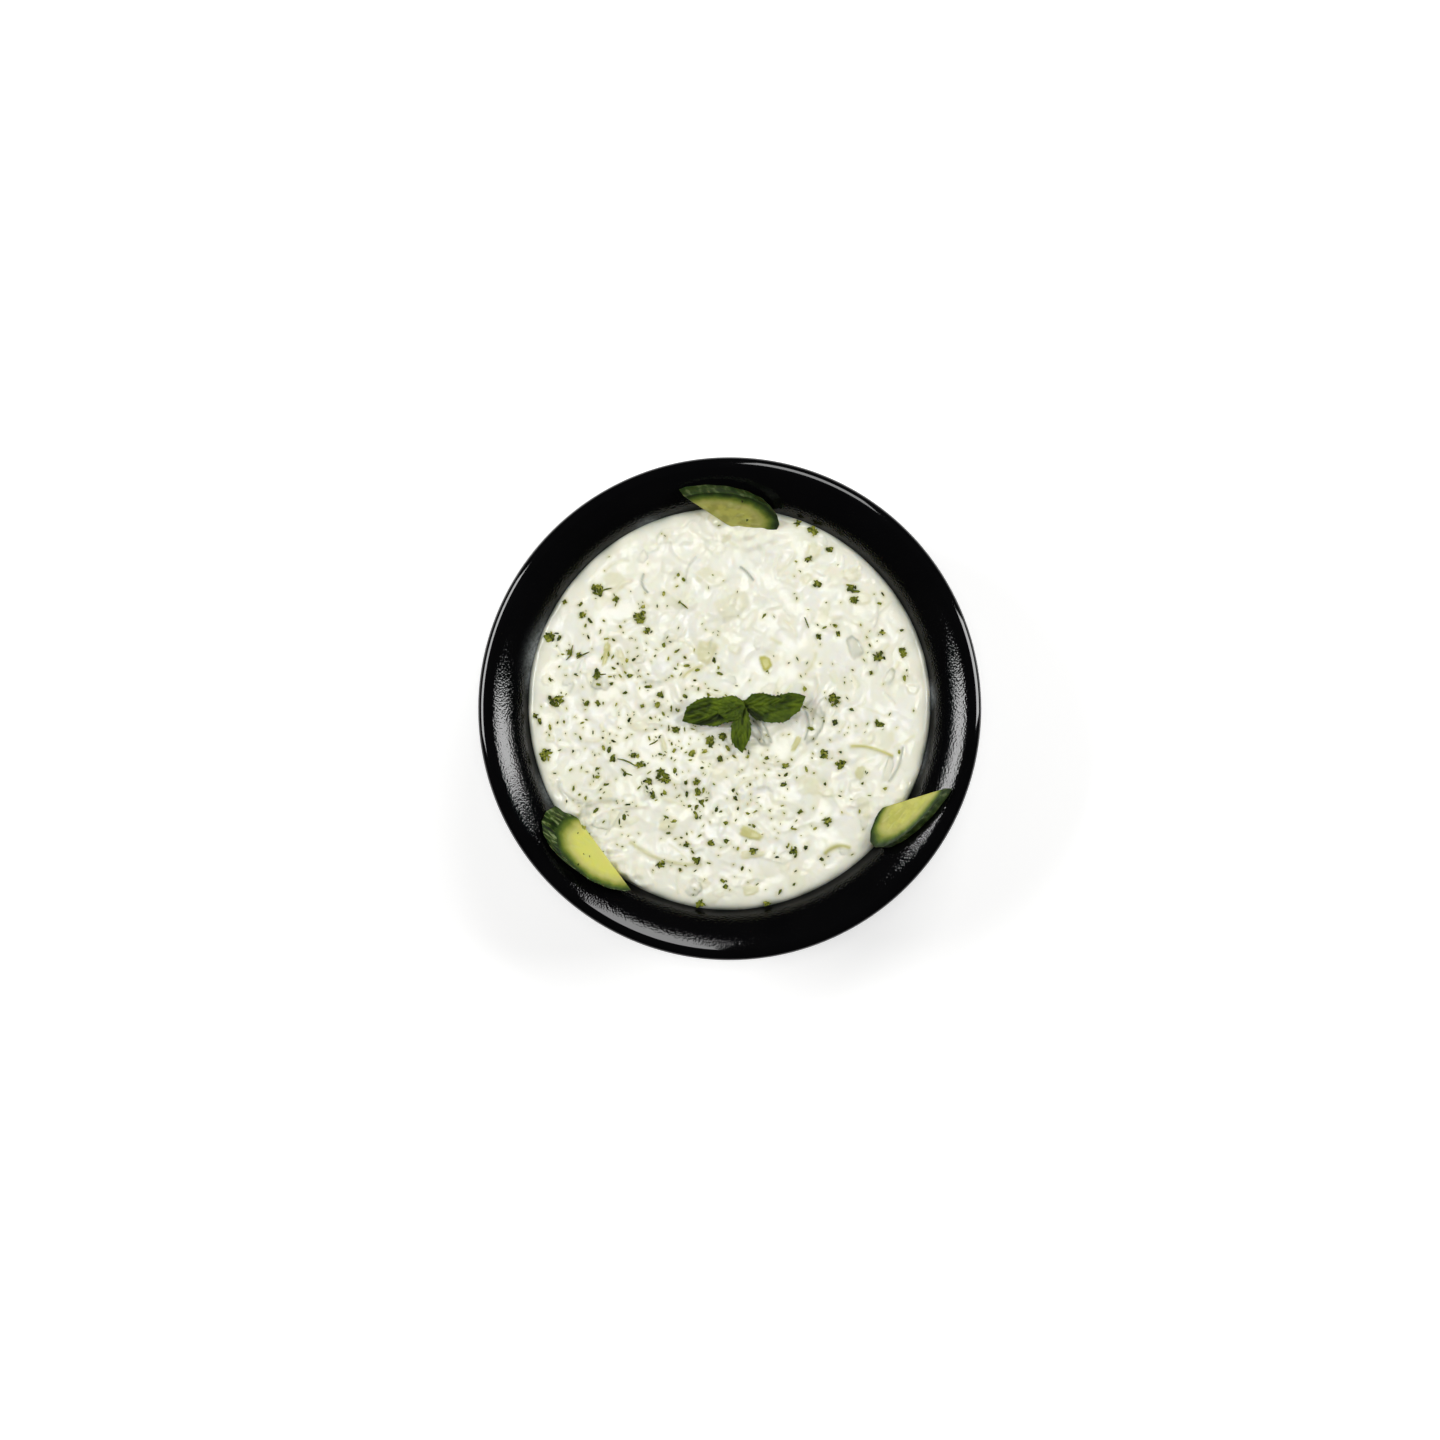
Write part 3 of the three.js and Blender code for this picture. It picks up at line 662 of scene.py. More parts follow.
def faint_shred(i):
    x, y = scattered(i, FAINT_SHREDS, SHRED_FIELD, 1.0, 41, start=2)
    heading = 2 * math.pi * draw(i, 43)
    half = between((1.3, 6.0), draw(i, 44) ** 2)
    bend = 0.6 * half * (draw(i, 45) - 0.5)
    dx, dy = half * math.cos(heading), half * math.sin(heading)
    middle = (x - bend * math.sin(heading), y + bend * math.cos(heading))
    green = 0.35 * draw(i, 46) if draw(i, 47) < 0.6 else 0.0
    grey = 0.0 if green else 0.35 * draw(i, 46)
    width, lift = between((0.35, 0.75), draw(i, 48)), between((0.08, 0.28), draw(i, 49))
    return (x - dx, y - dy), middle, (x + dx, y + dy), width, lift, green, grey


# %% How far a place is from a chunk or a shred
def chunk_share(x, y, chunk):
    """Distance from a chunk's middle, 1 on its outline, for a rounded and uneven box."""
    cx, cy, length, width, turn = chunk[:5]
    c, s = math.cos(math.radians(turn)), math.sin(math.radians(turn))
    u = ((x - cx) * c + (y - cy) * s) / length
    v = ((y - cy) * c - (x - cx) * s) / width
    around = np.arctan2(v, u)
    uneven = 1 + 0.10 * np.sin(3 * around + cx) + 0.05 * np.sin(7 * around + cy)
    return (np.abs(u) ** 3 + np.abs(v) ** 3) ** (1 / 3) / uneven


def shred_distance(x, y, start, middle, end, count=14):
    """Distance to a curve from start over the middle to end, cut into short lines."""
    start, middle, end = np.array(start), np.array(middle), np.array(end)
    bent = 2 * middle - (start + end) / 2
    points = [(1 - t) ** 2 * start + 2 * t * (1 - t) * bent + t**2 * end
              for t in (i / count for i in range(count + 1))]
    return np.min([segment_distance(x, y, a, b) for a, b in zip(points, points[1:])], axis=0)


def near(x, y, cx, cy, reach):
    return np.flatnonzero((np.abs(x - cx) < reach) & (np.abs(y - cy) < reach))


# %% Patches of the surface
# Where the spoon left the surface livelier: (x, y, spread, amount).
LIVELY_PATCHES = [(0, 45, 30, 0.7), (-22, 28, 22, 0.4), (-45, -38, 18, 0.8), (15, -12, 18, 0.4),
                  (45, -25, 18, 0.5), (-5, -58, 20, 0.4)]
# Where more of the dried herb fell, in the same form.
STREWN_PATCHES = [(-30, -18, 30, 0.9), (-45, 20, 24, 0.7), (-10, -22, 18, 0.8), (30, -20, 18, 0.5),
                  (45, 25, 24, 0.4), (0, -50, 30, 0.35), (-20, 8, 18, 0.5)]


def patchy(x, y, base, patches):
    """A share that is `base` everywhere and higher in some patches."""
    share = np.full(np.shape(x), float(base))
    for px, py, spread, amount in patches:
        share += amount * np.exp(-((x - px) ** 2 + (y - py) ** 2) / spread**2)
    return share


# %% Add up the surface
# Soft ripples: (height, size, series). They wander, so that no straight wave shows.
RIPPLES = [(0.118, 9, 53), (0.032, 3.5, 54)]
WANDER, WANDER_SIZE = 1.6, 13
# Shares of the way to a chunk's outline: where its bump and its tint fade, where its edge lies.
CHUNK_BUMP = (0.55, 1.15)
CHUNK_TINT = (0.75, 1.12)
CHUNK_EDGE, CHUNK_EDGE_WIDTH = 0.95, 0.13


def dip_surface(x, y):
    """Height, and how much green and grey show through, at places in the bowl; towards the wall the
    grey is partly painted shade.
    """
    x, y = np.asarray(x, float), np.asarray(y, float)
    across = x + WANDER * ripple(x, y, WANDER_SIZE, 51)
    deep = y + WANDER * ripple(x, y, WANDER_SIZE, 52)
    height = broad_form(x, y)
    lively = patchy(x, y, 0.6, LIVELY_PATCHES)
    height += lively * sum(h * ripple(across, deep, size, series) for h, size, series in RIPPLES)
    green, grey = np.zeros_like(x), np.zeros_like(x)
    for chunk in CHUNKS + [faint_chunk(i) for i in range(FAINT_CHUNKS)]:
        (cx, cy, length), (lift, greenness, greyness) = chunk[:3], chunk[5:]
        at = near(x, y, cx, cy, 1.6 * length)
        share = chunk_share(x[at], y[at], chunk)
        height[at] += lift * (1 - smooth_step(*CHUNK_BUMP, share))
        inside = 1 - smooth_step(*CHUNK_TINT, share)
        one_sided = 0.5 + 0.5 * np.cos(np.arctan2(y[at] - cy, x[at] - cx) - cx)
        edge = one_sided * np.exp(-(((share - CHUNK_EDGE) / CHUNK_EDGE_WIDTH) ** 2))
        green[at] = np.maximum(green[at], greenness * inside)
        grey[at] = np.maximum(grey[at], greyness * (0.3 * inside + 0.8 * edge))
    for shred in SHREDS + [faint_shred(i) for i in range(FAINT_SHREDS)]:
        start, middle, end, width, lift, greenness, greyness = shred
        at = near(x, y, middle[0], middle[1], 3 * width + math.dist(start, end))
        away = shred_distance(x[at], y[at], start, middle, end)
        height[at] += lift * np.exp(-((away / (1.3 * width)) ** 2))
        inside = np.exp(-((away / width) ** 2))
        green[at] = np.maximum(green[at], greenness * inside)
        grey[at] = np.maximum(grey[at], greyness * inside)
    rim, rim_height = contact_rim(np.arctan2(y, x))
    inward = np.maximum(rim - np.hypot(x, y), 0)
    rolled = np.exp(-inward / EDGE_ROLL)
    # Grey towards the wall: partly the yogurt thinning over the black bowl, partly painted shade
    # where the rim shades the dip.
    grey = np.maximum(grey, np.exp(-inward / EDGE_SHADE_REACH) * (0.65 + 0.3 * ripple(x, y, 12, 55)))
    return (DIP_LEVEL + height) * (1 - rolled) + rim_height * rolled, green, grey


# %% [markdown]
# The solid below that surface is closed by a side, which follows the wall and reaches just
# into it so that no dark gap shows at the edge, and by a flat floor.

# %% Build the dip's mesh
DIP_RINGS = 168
RING_CROWDING = 1.25


def ring_start(k):
    """The number of a ring's first point: ring 0 is the middle, the next ones have 6, 12, 18."""
    return 3 * k * (k - 1) + 1 if k else 0


def dip_top():
    """The surface in the plan: the places of its points and the triangles between the rings."""
    x, y, faces = [np.zeros(1)], [np.zeros(1)], []
    for k in range(1, DIP_RINGS + 1):
        share = 1 - (1 - k / DIP_RINGS) ** RING_CROWDING
        i = np.arange(6 * k)
        angle = 2 * math.pi * i / (6 * k)
        rim, _ = contact_rim(angle)
        x.append(rim * share * np.cos(angle))
        y.append(rim * share * np.sin(angle))
        sector, j = i // k, i % k
        outer, outer_next = ring_start(k) + i, ring_start(k) + (i + 1) % (6 * k)
        inside = max(6 * (k - 1), 1)
        inner = ring_start(k - 1) + (sector * (k - 1) + j) % inside
        faces.append(np.stack([outer, outer_next, inner], 1))
        within = j < k - 1
        inner_next = ring_start(k - 1) + (sector * (k - 1) + j + 1) % inside
        faces.append(np.stack([inner, outer_next, inner_next], 1)[within])
    return np.concatenate(x), np.concatenate(y), np.concatenate(faces)


def dip_mesh():
    """The surface, the side that follows the wall and the flat floor, as one closed mesh."""
    x, y, faces = dip_top()
    z, green, grey = dip_surface(x, y)
    points = [np.stack([x, y, z], 1)]
    faces = [faces]
    around = 6 * DIP_RINGS
    turn = 2 * math.pi * np.arange(around) / around
    side = [flare_point(WALL_SLOPE, INTO_WALL)]
    side += steps(WALL_SLOPE, 0, 4, lambda s: corner_point(s, INTO_WALL))
    above = ring_start(DIP_RINGS) + np.arange(around)
    for radius, height in side:
        below = above.max() + 1 + np.arange(around)
        points.append(np.stack([radius * np.cos(turn), radius * np.sin(turn),
                                np.full(around, height)], 1))
        after, below_after = np.roll(above, -1), np.roll(below, -1)
        faces.append(np.stack([above, below, below_after], 1))
        faces.append(np.stack([above, below_after, after], 1))
        above = below
    foot = above.max() + 1
    points.append(np.array([[0, 0, FLOOR_TOP - INTO_WALL]]))
    faces.append(np.stack([above, np.full(around, foot), np.roll(above, -1)], 1))
    points = np.concatenate(points)
    unseen = np.zeros(len(points) - len(x))
    inward = smooth_step(1.5, 5, contact_rim(np.arctan2(y, x))[0] - np.hypot(x, y))
    strewn = inward * np.minimum(patchy(x, y, 0.06, STREWN_PATCHES), 1)
    values = {"green": green, "grey": grey, "strewn": strewn}
    return mesh_from("dip", points, np.concatenate(faces),
                     **{key: np.concatenate([value, unseen]) for key, value in values.items()})


# %% [markdown]
# Yogurt scatters light a millimetre or two under its surface, which softens every edge, and a
# film of whey and oil makes it shine. Its white leans to cream, and it drifts slowly between
# a colder and a warmer tone. The green of the cucumber is laid over that by the values that
# the surface carries.


# %% Yogurt
def yogurt():
    material, tree, shader, place = finish(
        "tzatziki", Subsurface_Weight=0.6, Subsurface_Scale=2.0 * MM,
        Subsurface_Radius=(1.0, 0.85, 0.6), IOR=1.38, Coat_Roughness=0.08)
    patches = effect(tree, MOTTLE, place, Size_mm=11.0, Contrast=2.2)
    colour = blend_colours(tree, patches, colour_of(246, 244, 224), colour_of(251, 250, 236))
    colour = blend_colours(tree, kept_value(tree, "green"), colour, colour_of(196, 192, 96))
    # The grey value is grey-green cucumber under the cover and, towards the wall, also painted shade.
    colour = blend_colours(tree, kept_value(tree, "grey"), colour, colour_of(132, 144, 128))
    wet = effect(tree, MOTTLE, place, Size_mm=5.0, Contrast=1.6)
    wetter = arithmetic(tree, "MULTIPLY", kept_value(tree, "grey"), 0.7)
    feed(tree, shader, Base_Color=colour, Roughness=rescale(tree, wet, 0.0, 1.0, 0.22, 0.42),
         Coat_Weight=arithmetic(tree, "ADD", wetter, 0.3))
    bump(tree, shader, effect(tree, GRAIN, place, Size_mm=2.2, Sharpness=0.1), 0.08)
    return material


# %% The dip
dip = piece_from("yogurt_dip", dip_mesh(), yogurt())
print(f"dip: {len(dip.data.polygons)} faces, {volume_of(dip.data):.0f} ml of yogurt")

# %% [markdown]
# The spoon left a thin film of yogurt on the wall in a few places, just above the dip. It is
# too thin to be a piece, so the bowl's points carry it as a value, which lightens the black.
# The same value also paints highlights on the wall, short and low along the contact line, for
# the glints of the dip's wet edge.

# %% Smear and painted glints on the wall
# (azimuth in degrees, half width in degrees, reach in mm, share)
# Painted highlights: the short, low patches along the contact line stand for glints of the dip's wet
# edge; the broad one on the left is smeared yogurt.
SMEARS_AND_GLINTS = [(163, 6, 2.4, 0.55), (171, 3, 1.2, 0.4), (114, 3, 1.6, 0.3), (4, 3, 1.4, 0.45),
         (-15, 5, 0.9, 0.35), (205, 5, 1.5, 0.35)]


def film_on_wall(mesh):
    x, y, _ = points_of(mesh).T / MM
    angle = np.arctan2(y, x)
    polish = np.zeros(len(x), np.float32)
    mesh.attributes["polish"].data.foreach_get("value", polish)
    above = np.maximum(np.hypot(x, y) - contact_rim(angle)[0], 0)
    share = np.zeros(len(x))
    for azimuth, width, reach, amount in SMEARS_AND_GLINTS:
        turn = (np.degrees(angle) - azimuth + 180) % 360 - 180
        share = np.maximum(share, amount * np.exp(-((turn / width) ** 2) - (above / reach) ** 2))
    keep_on_points(mesh, film=np.where(polish < 1, share, 0))
    return share.max()


print(f"film on the wall: up to {film_on_wall(bowl.data):.2f}")

# %% [markdown]
# ## Cucumber half slices
# A cucumber cut on the bias gives long oval slices, and each was halved. One slice is worked
# out from three arrows: `along` from the middle of its straight edge to one end, `across` from
# there to the middle of the skin, and `through` from the shown face to the back. A place on a
# face is then two shares of those arrows, and the distance from the cucumber's axis, 1 at the
# skin, is the same for every slice. Flesh, seeds and skin are coloured by that distance.

# %% Sizes of a slice
SKIN_RIBS = 9
SKIN_RIB_DEPTH = 0.012
ARC_POINTS = 180
CHORD_POINTS = 84
FACE_RINGS = 26
FACE_CROWDING = 1.15
FACE_MIDDLE = 0.42
FACE_SWELL, FACE_UNEVENNESS = 0.28, 0.03
# Through the thickness: (share of `through`, how far the outline is drawn in).
EDGE_LAYERS = [(0.0, 0.020), (0.015, 0.009), (0.05, 0.002), (0.12, 0.0), (0.25, 0.0), (0.4, 0.0),
               (0.55, 0.0), (0.7, 0.0), (0.85, 0.0), (0.95, 0.002), (0.985, 0.009), (1.0, 0.020)]
SEEDS = 9
SEED_REACH = (0.30, 0.62)
SEED_HALF_LENGTH, SEED_HALF_WIDTH, SEED_LIFT = 0.13, 0.05, 0.09


def unit(v):
    v = np.asarray(v, float)
    return v / np.linalg.norm(v)


def slice_arrows(place):
    """The middle of a slice's straight edge, and its arrows along, across and through."""
    return (np.array(SLICES[place][key], float) for key in ("middle", "along", "across", "through"))


# %% Outline and relief of a slice
def slice_outline():
    """Shares of `along` and `across`: the arc of the skin, then the straight edge."""
    theta = np.linspace(0, math.pi, ARC_POINTS)
    ribbed = 1 - SKIN_RIB_DEPTH * (1 + np.cos(theta * 2 * SKIN_RIBS)) / 2
    arc = np.stack([ribbed * np.cos(theta), ribbed * np.sin(theta)], 1)
    chord = np.stack([np.linspace(-1, 1, CHORD_POINTS + 2)[1:-1], np.zeros(CHORD_POINTS)], 1)
    return np.concatenate([arc, chord])


def seed_cover(p, q, shift):
    """1 in the middle of a seed and 0 outside: almonds that point away from the axis."""
    cover = np.zeros_like(p)
    for i in range(SEEDS):
        theta = math.pi * (i + 0.25 + 0.5 * draw(i, 61 + shift)) / SEEDS
        out = p * math.cos(theta) + q * math.sin(theta) - between(SEED_REACH, draw(i, 62 + shift))
        aside = q * math.cos(theta) - p * math.sin(theta)
        away = np.hypot(out / SEED_HALF_LENGTH, aside / SEED_HALF_WIDTH)
        cover = np.maximum(cover, 1 - smooth_step(0.4, 1.1, away))
    return cover


def face_relief(p, q, shift):
    """How far a cut face stands out: it is swollen, a little uneven, and has seeds."""
    rho = np.hypot(p, q)
    uneven = FACE_UNEVENNESS * ripple(p * 14, q * 14, 5, 63 + shift)
    seeds = SEED_LIFT * seed_cover(p, q, shift)
    return (FACE_SWELL * (1 - rho**4) + uneven + seeds) * (1 - smooth_step(0.9, 1.0, rho))


# %% Points and faces of a slice
def slice_points(outline, shift):
    """Shares of the arrows, depth and relief of all points: the edge's layers, then each face."""
    centre = np.array([0, FACE_MIDDLE])
    rings = [(1 - drawn, depth, 0) for depth, drawn in EDGE_LAYERS]
    for depth, sign in ((0.0, 1), (1.0, -1)):
        for k in range(1, FACE_RINGS + 1):
            size = (1 - EDGE_LAYERS[0][1]) * (1 - (k / FACE_RINGS) ** FACE_CROWDING)
            rings.append((size, depth, sign * smooth_step(0, 3, k)))
    shares, depths, lifts = [], [], []
    for size, depth, relief in rings:
        ring = centre + (outline - centre) * size if size else centre[None]
        shares.append(ring)
        depths.append(np.full(len(ring), depth))
        lifts.append(relief * face_relief(ring[:, 0], ring[:, 1], shift))
    return np.concatenate(shares), np.concatenate(depths), np.concatenate(lifts)


def slice_faces(n):
    """Bands of faces between rings of n points, and a fan in the middle of each cut face."""
    bands, fans = [], []

    def band(first, second):
        i = np.arange(n)
        j = (i + 1) % n
        bands.append(np.stack([first + i, first + j, second + j, second + i], 1))

    last_layer = (len(EDGE_LAYERS) - 1) * n
    for layer in range(0, last_layer, n):
        band(layer, layer + n)
    front = last_layer + n
    back = front + (FACE_RINGS - 1) * n + 1
    for start, edge, order in ((front, 0, -1), (back, last_layer, 1)):
        rings = [edge] + [start + k * n for k in range(FACE_RINGS - 1)]
        for outer, inner in zip(rings, rings[1:]):
            band(*(outer, inner)[::order])
        tip = start + (FACE_RINGS - 1) * n
        fans += [(rings[-1] + i, rings[-1] + (i + 1) % n, tip)[::-order] for i in range(n)]
    return np.concatenate(bands).tolist() + fans


# %% One slice
def slice_mesh(place, shift):
    middle, a, b, t = slice_arrows(place)
    up = unit(np.cross(a, b))
    up = -up if up @ t > 0 else up
    outline = slice_outline()
    n = len(outline)
    pq, depth, lift = slice_points(outline, shift)
    p, q = pq.T
    points = middle + pq[:, :1] * a + pq[:, 1:] * b + depth[:, None] * t + lift[:, None] * up
    rho, number = np.hypot(p, q), np.arange(len(p))
    on_side = (depth > 0.01) & (depth < 0.99) | (number < n)
    on_skin = on_side & (number % n < ARC_POINTS) & (rho > 0.95)
    ripe, streaky = (np.full(len(p), SLICES[place][key]) for key in ("ripe", "streaky"))
    return face_outwards(mesh_from(
        f"slice {place}", points, slice_faces(n), rho=rho, skin=on_skin,
        turn=np.arctan2(q, p) / math.pi, depth=depth, seed=seed_cover(p, q, shift), ripe=ripe,
        streaky=streaky))


def on_slice(place, x, y):
    """The height of a slice's shown face over a place in the plan."""
    m, a, b, _ = slice_arrows(place)
    p, q = np.linalg.solve(np.stack([a[:2], b[:2]], 1), np.array([x, y]) - m[:2])
    return float(m[2] + p * a[2] + q * b[2])


# %% [markdown]
# The flesh of a cucumber is pale yellow-green and wet, and turns green only in a thin layer
# under the skin. A colour ramp over the distance from the axis gives that, nudged by mottle so
# that no ring looks drawn. The skin has lighter streaks, which run the length of the cucumber:
# a noise that is stretched along `through` makes them.


# %% Cucumber
def ramp(tree, value, stops):
    made = node(tree, "ShaderNodeValToRGB", {"Fac": value})
    while len(made.color_ramp.elements) < len(stops):
        made.color_ramp.elements.new(1.0)
    for element, (position, colour) in zip(made.color_ramp.elements, stops):
        element.position = position
        element.color = colour
    return made.outputs["Color"]


def cucumber():
    material, tree, shader, place = finish(
        "cucumber", Subsurface_Weight=0.25, Subsurface_Scale=1.0 * MM, IOR=1.36,
        Specular_IOR_Level=0.35)
    patches = effect(tree, MOTTLE, place, Size_mm=4.0, Contrast=1.6)
    nudge = rescale(tree, patches, 0.0, 1.0, -0.035, 0.035)
    rho = arithmetic(tree, "ADD", kept_value(tree, "rho"), nudge)
    # ripe widens the green under the skin and darkens the flesh in patches. On the back slice this
    # stands partly for its darker, translucent flesh and partly is painted shade, as that slice lies
    # turned from the lamps.
    ripe = kept_value(tree, "ripe")
    rho = arithmetic(tree, "ADD", rho, arithmetic(tree, "MULTIPLY", ripe, 0.06))
    flesh = ramp(tree, rho, [
        (0.0, colour_of(230, 228, 128)), (0.55, colour_of(226, 226, 112)),
        (0.70, colour_of(206, 204, 118)), (0.79, colour_of(168, 172, 82)),
        (0.87, colour_of(108, 126, 42)), (0.94, colour_of(60, 82, 26)),
        (1.0, colour_of(30, 46, 14))])
    soft_patches = rescale(tree, patches, 0.35, 0.7, 0.55, 1.0)
    # Painted shade, with some real translucent flesh: soft patches of the flesh go towards a dark
    # olive, most on the back slice.
    dark_patch_share = arithmetic(tree, "MULTIPLY", ripe, soft_patches)
    dark_patch_share = arithmetic(tree, "MULTIPLY", dark_patch_share, rescale(tree, rho, 0.6, 0.85, 1.0, 0.0))
    dark_patch_share = arithmetic(tree, "MULTIPLY", dark_patch_share, 0.6)
    flesh = blend_colours(tree, dark_patch_share, flesh, colour_of(126, 122, 56))
    seeds = arithmetic(tree, "MULTIPLY", kept_value(tree, "seed"), 0.25)
    flesh = blend_colours(tree, seeds, flesh, colour_of(222, 220, 150))
    around = arithmetic(tree, "MULTIPLY", kept_value(tree, "turn"), 28.0)
    lengthwise = arithmetic(tree, "MULTIPLY", kept_value(tree, "depth"), 1.4)
    streaks = node(tree, "ShaderNodeTexNoise", {
        "Vector": combine(tree, around, lengthwise), "Scale": 1.0, "Detail": 3.0})
    skin = ramp(tree, streaks.outputs["Fac"], [
        (0.36, colour_of(16, 28, 8)), (0.46, colour_of(38, 56, 16)),
        (0.54, colour_of(68, 88, 34)), (0.62, colour_of(126, 140, 92))])
    skin = blend_colours(tree, kept_value(tree, "streaky"), colour_of(42, 58, 20), skin)
    colour = blend_colours(tree, kept_value(tree, "skin"), flesh, skin)
    feed(tree, shader, Base_Color=colour, Roughness=rescale(tree, patches, 0.0, 1.0, 0.34, 0.52))
    bump(tree, shader, effect(tree, GRAIN, place, Size_mm=0.9, Sharpness=0.4), 0.10)
    return material


# %% The three slices
cucumber_finish = cucumber()
slices = {}
for number, place_name in enumerate(SLICES):
    cut = piece_from(f"cucumber_{place_name}", slice_mesh(place_name, 3 * number), cucumber_finish)
    cut.data.set_sharp_from_angle(angle=math.radians(55))
    slices[place_name] = cut
    print(f"slice {place_name}: {volume_of(cut.data):.1f} ml")

# %% [markdown]
# ## Mint
# The sprig's top is four leaves on a stub of stem. A leaf is a thin sheet over a grid: `u`
# runs from base to tip and `v` from one edge over the midrib, where it is 0, to the other.
# Both edges and the midrib are given as distances from the straight line between base and tip,
# at nine even steps. Between its side veins the blade swells like a quilt, at the veins it is
# drawn in, and a few long creases run towards the tip. All of this is real relief, because a
# leaf is looked at from close by; the shader only tints the veins and darkens the creases.

# %% The leaves
LEAF_THICKNESS = 0.45
LEAF_ROWS, LEAF_COLUMNS = 96, 40
TIP_CROWDING = 1.15
TEETH_DEPTH = 0.8
VEIN_SLANT = 0.42
MIDRIB_WIDTH, MIDRIB_DEPTH = 0.5, 0.35
# `arch` bows a leaf lengthwise, `fold` lifts its edges, `roll` tips it sideways and `quilt` swells
# it between its veins. A crease runs between two places (u, mm from the line) and has a depth
# and a width.
LEAVES = [
    {"base": (5.3, 1.3, 44.0), "tip": (-17.1, -4.5, 43.3),
     "left": (0.9, 2.2, 4.2, 4.3, 4.8, 3.8, 2.9, 1.6, 0),
     "rib": (0, -0.3, -0.5, -0.4, 0, 0.1, 0.1, 0, 0),
     "right": (-1.1, -4.0, -4.6, -4.9, -5.9, -6.2, -5.6, -4.2, 0),
     "arch": 1.7, "fold": 0.6, "roll": -0.04, "veins": 7, "teeth": 17, "quilt": 0.5,
     "creases": [((0.52, -3.2), (0.95, -2.4), 0.7, 0.5), ((0.55, -1.9), (0.9, -1.5), 0.45, 0.35),
                 ((0.25, 1.6), (0.78, 2.8), 0.9, 1.2), ((0.3, -4.4), (0.8, -4.8), 0.3, 0.5),
                 ((0.62, -0.6), (0.97, 0.5), 0.5, 0.7)]},
    {"base": (5.2, 1.7, 44.9), "tip": (-4.3, -1.3, 45.6),
     "left": (1.2, 2.6, 3.8, 4.4, 4.6, 4.3, 3.5, 2.2, 0.2),
     "rib": (0, 0.1, 0.2, 0.2, 0.2, 0.1, 0, 0, 0),
     "right": (-1.2, -2.8, -3.8, -4.3, -4.4, -4.2, -3.3, -2.0, -0.2),
     "arch": 0.8, "fold": -0.3, "roll": 0.02, "veins": 4, "teeth": 9, "quilt": 0.3,
     "creases": [((0.1, 0.4), (0.7, 1.2), 0.35, 0.4), ((0.3, -1.6), (0.8, -1.8), 0.25, 0.4)]},
    {"base": (5.3, 1.8, 44.0), "tip": (27.3, 4.5, 45.2),
     "left": (0.8, 2.9, 3.1, 2.5, 1.5, 1.7, 1.9, 1.3, 0),
     "rib": (-0.2, -1.2, -2.0, -2.0, -1.6, -1.0, -0.4, 0, 0),
     "right": (-1.8, -5.6, -6.9, -7.8, -8.1, -8.1, -6.4, -4.6, 0),
     "arch": 1.6, "fold": 0.9, "roll": 0.05, "veins": 7, "teeth": 17, "quilt": 0.4,
     "creases": [((0.0, -1.6), (0.22, -5.8), 1.0, 1.3), ((0.5, -1.9), (0.82, -0.7), 0.5, 0.5),
                 ((0.3, -4.6), (0.8, -3.2), 0.35, 0.4), ((0.52, 1.9), (0.6, 0.4), 0.5, 0.5)]},
    {"base": (4.7, 0.8, 44.1), "tip": (4.6, -16.0, 43.2),
     "left": (1.0, 1.8, 2.4, 2.8, 3.0, 2.9, 2.0, 0.9, 0),
     "rib": (0, 0, -0.1, -0.3, -0.4, -0.4, -0.3, -0.1, 0),
     "right": (-1.0, -2.0, -3.2, -3.9, -4.1, -4.2, -3.7, -2.3, 0),
     "arch": 1.2, "fold": 0.7, "roll": 0.0, "veins": 5, "teeth": 9, "quilt": 0.3,
     "creases": [((0.0, 0.4), (0.35, -0.1), 0.4, 0.7), ((0.55, -2.4), (0.9, -1.0), 0.3, 0.4),
                 ((0.2, 1.8), (0.7, 1.6), 0.3, 0.4)]},
]


# %% Shape of a leaf
def smooth_along(u, values):
    """A smooth curve through values at even steps from 0 to 1."""
    values = np.array(values, float)
    step = 1 / (len(values) - 1)
    slopes = np.gradient(values, step)
    k = np.clip((u * (len(values) - 1)).astype(int), 0, len(values) - 2)
    t = u / step - k
    return (values[k] * (1 + 2 * t) * (1 - t) ** 2 + values[k + 1] * t * t * (3 - 2 * t)
            + step * (slopes[k] * t * (1 - t) ** 2 - slopes[k + 1] * t * t * (1 - t)))


def leaf_teeth(leaf, u, v, width):
    """How far the saw teeth of the edge stick out; each side has its own uneven row."""
    left = v > 0
    tooth = u * leaf["teeth"] + 0.4 * left
    uneven = 0.1 + draw(np.floor(tooth) + 9 * left, leaf["veins"]) ** 2
    return TEETH_DEPTH * uneven * (tooth % 1.0 - 0.3) * np.minimum(1, width / 2.5) * np.abs(v) ** 6


def leaf_creases(leaf, along, reach, length):
    """How far the long creases draw the blade in."""
    dents = np.zeros_like(along)
    for (u0, s0), (u1, s1), depth, spread in leaf["creases"]:
        away = segment_distance(along, reach, (u0 * length, s0), (u1 * length, s1))
        dents = np.maximum(dents, depth * np.exp(-((away / spread) ** 2)))
    return dents


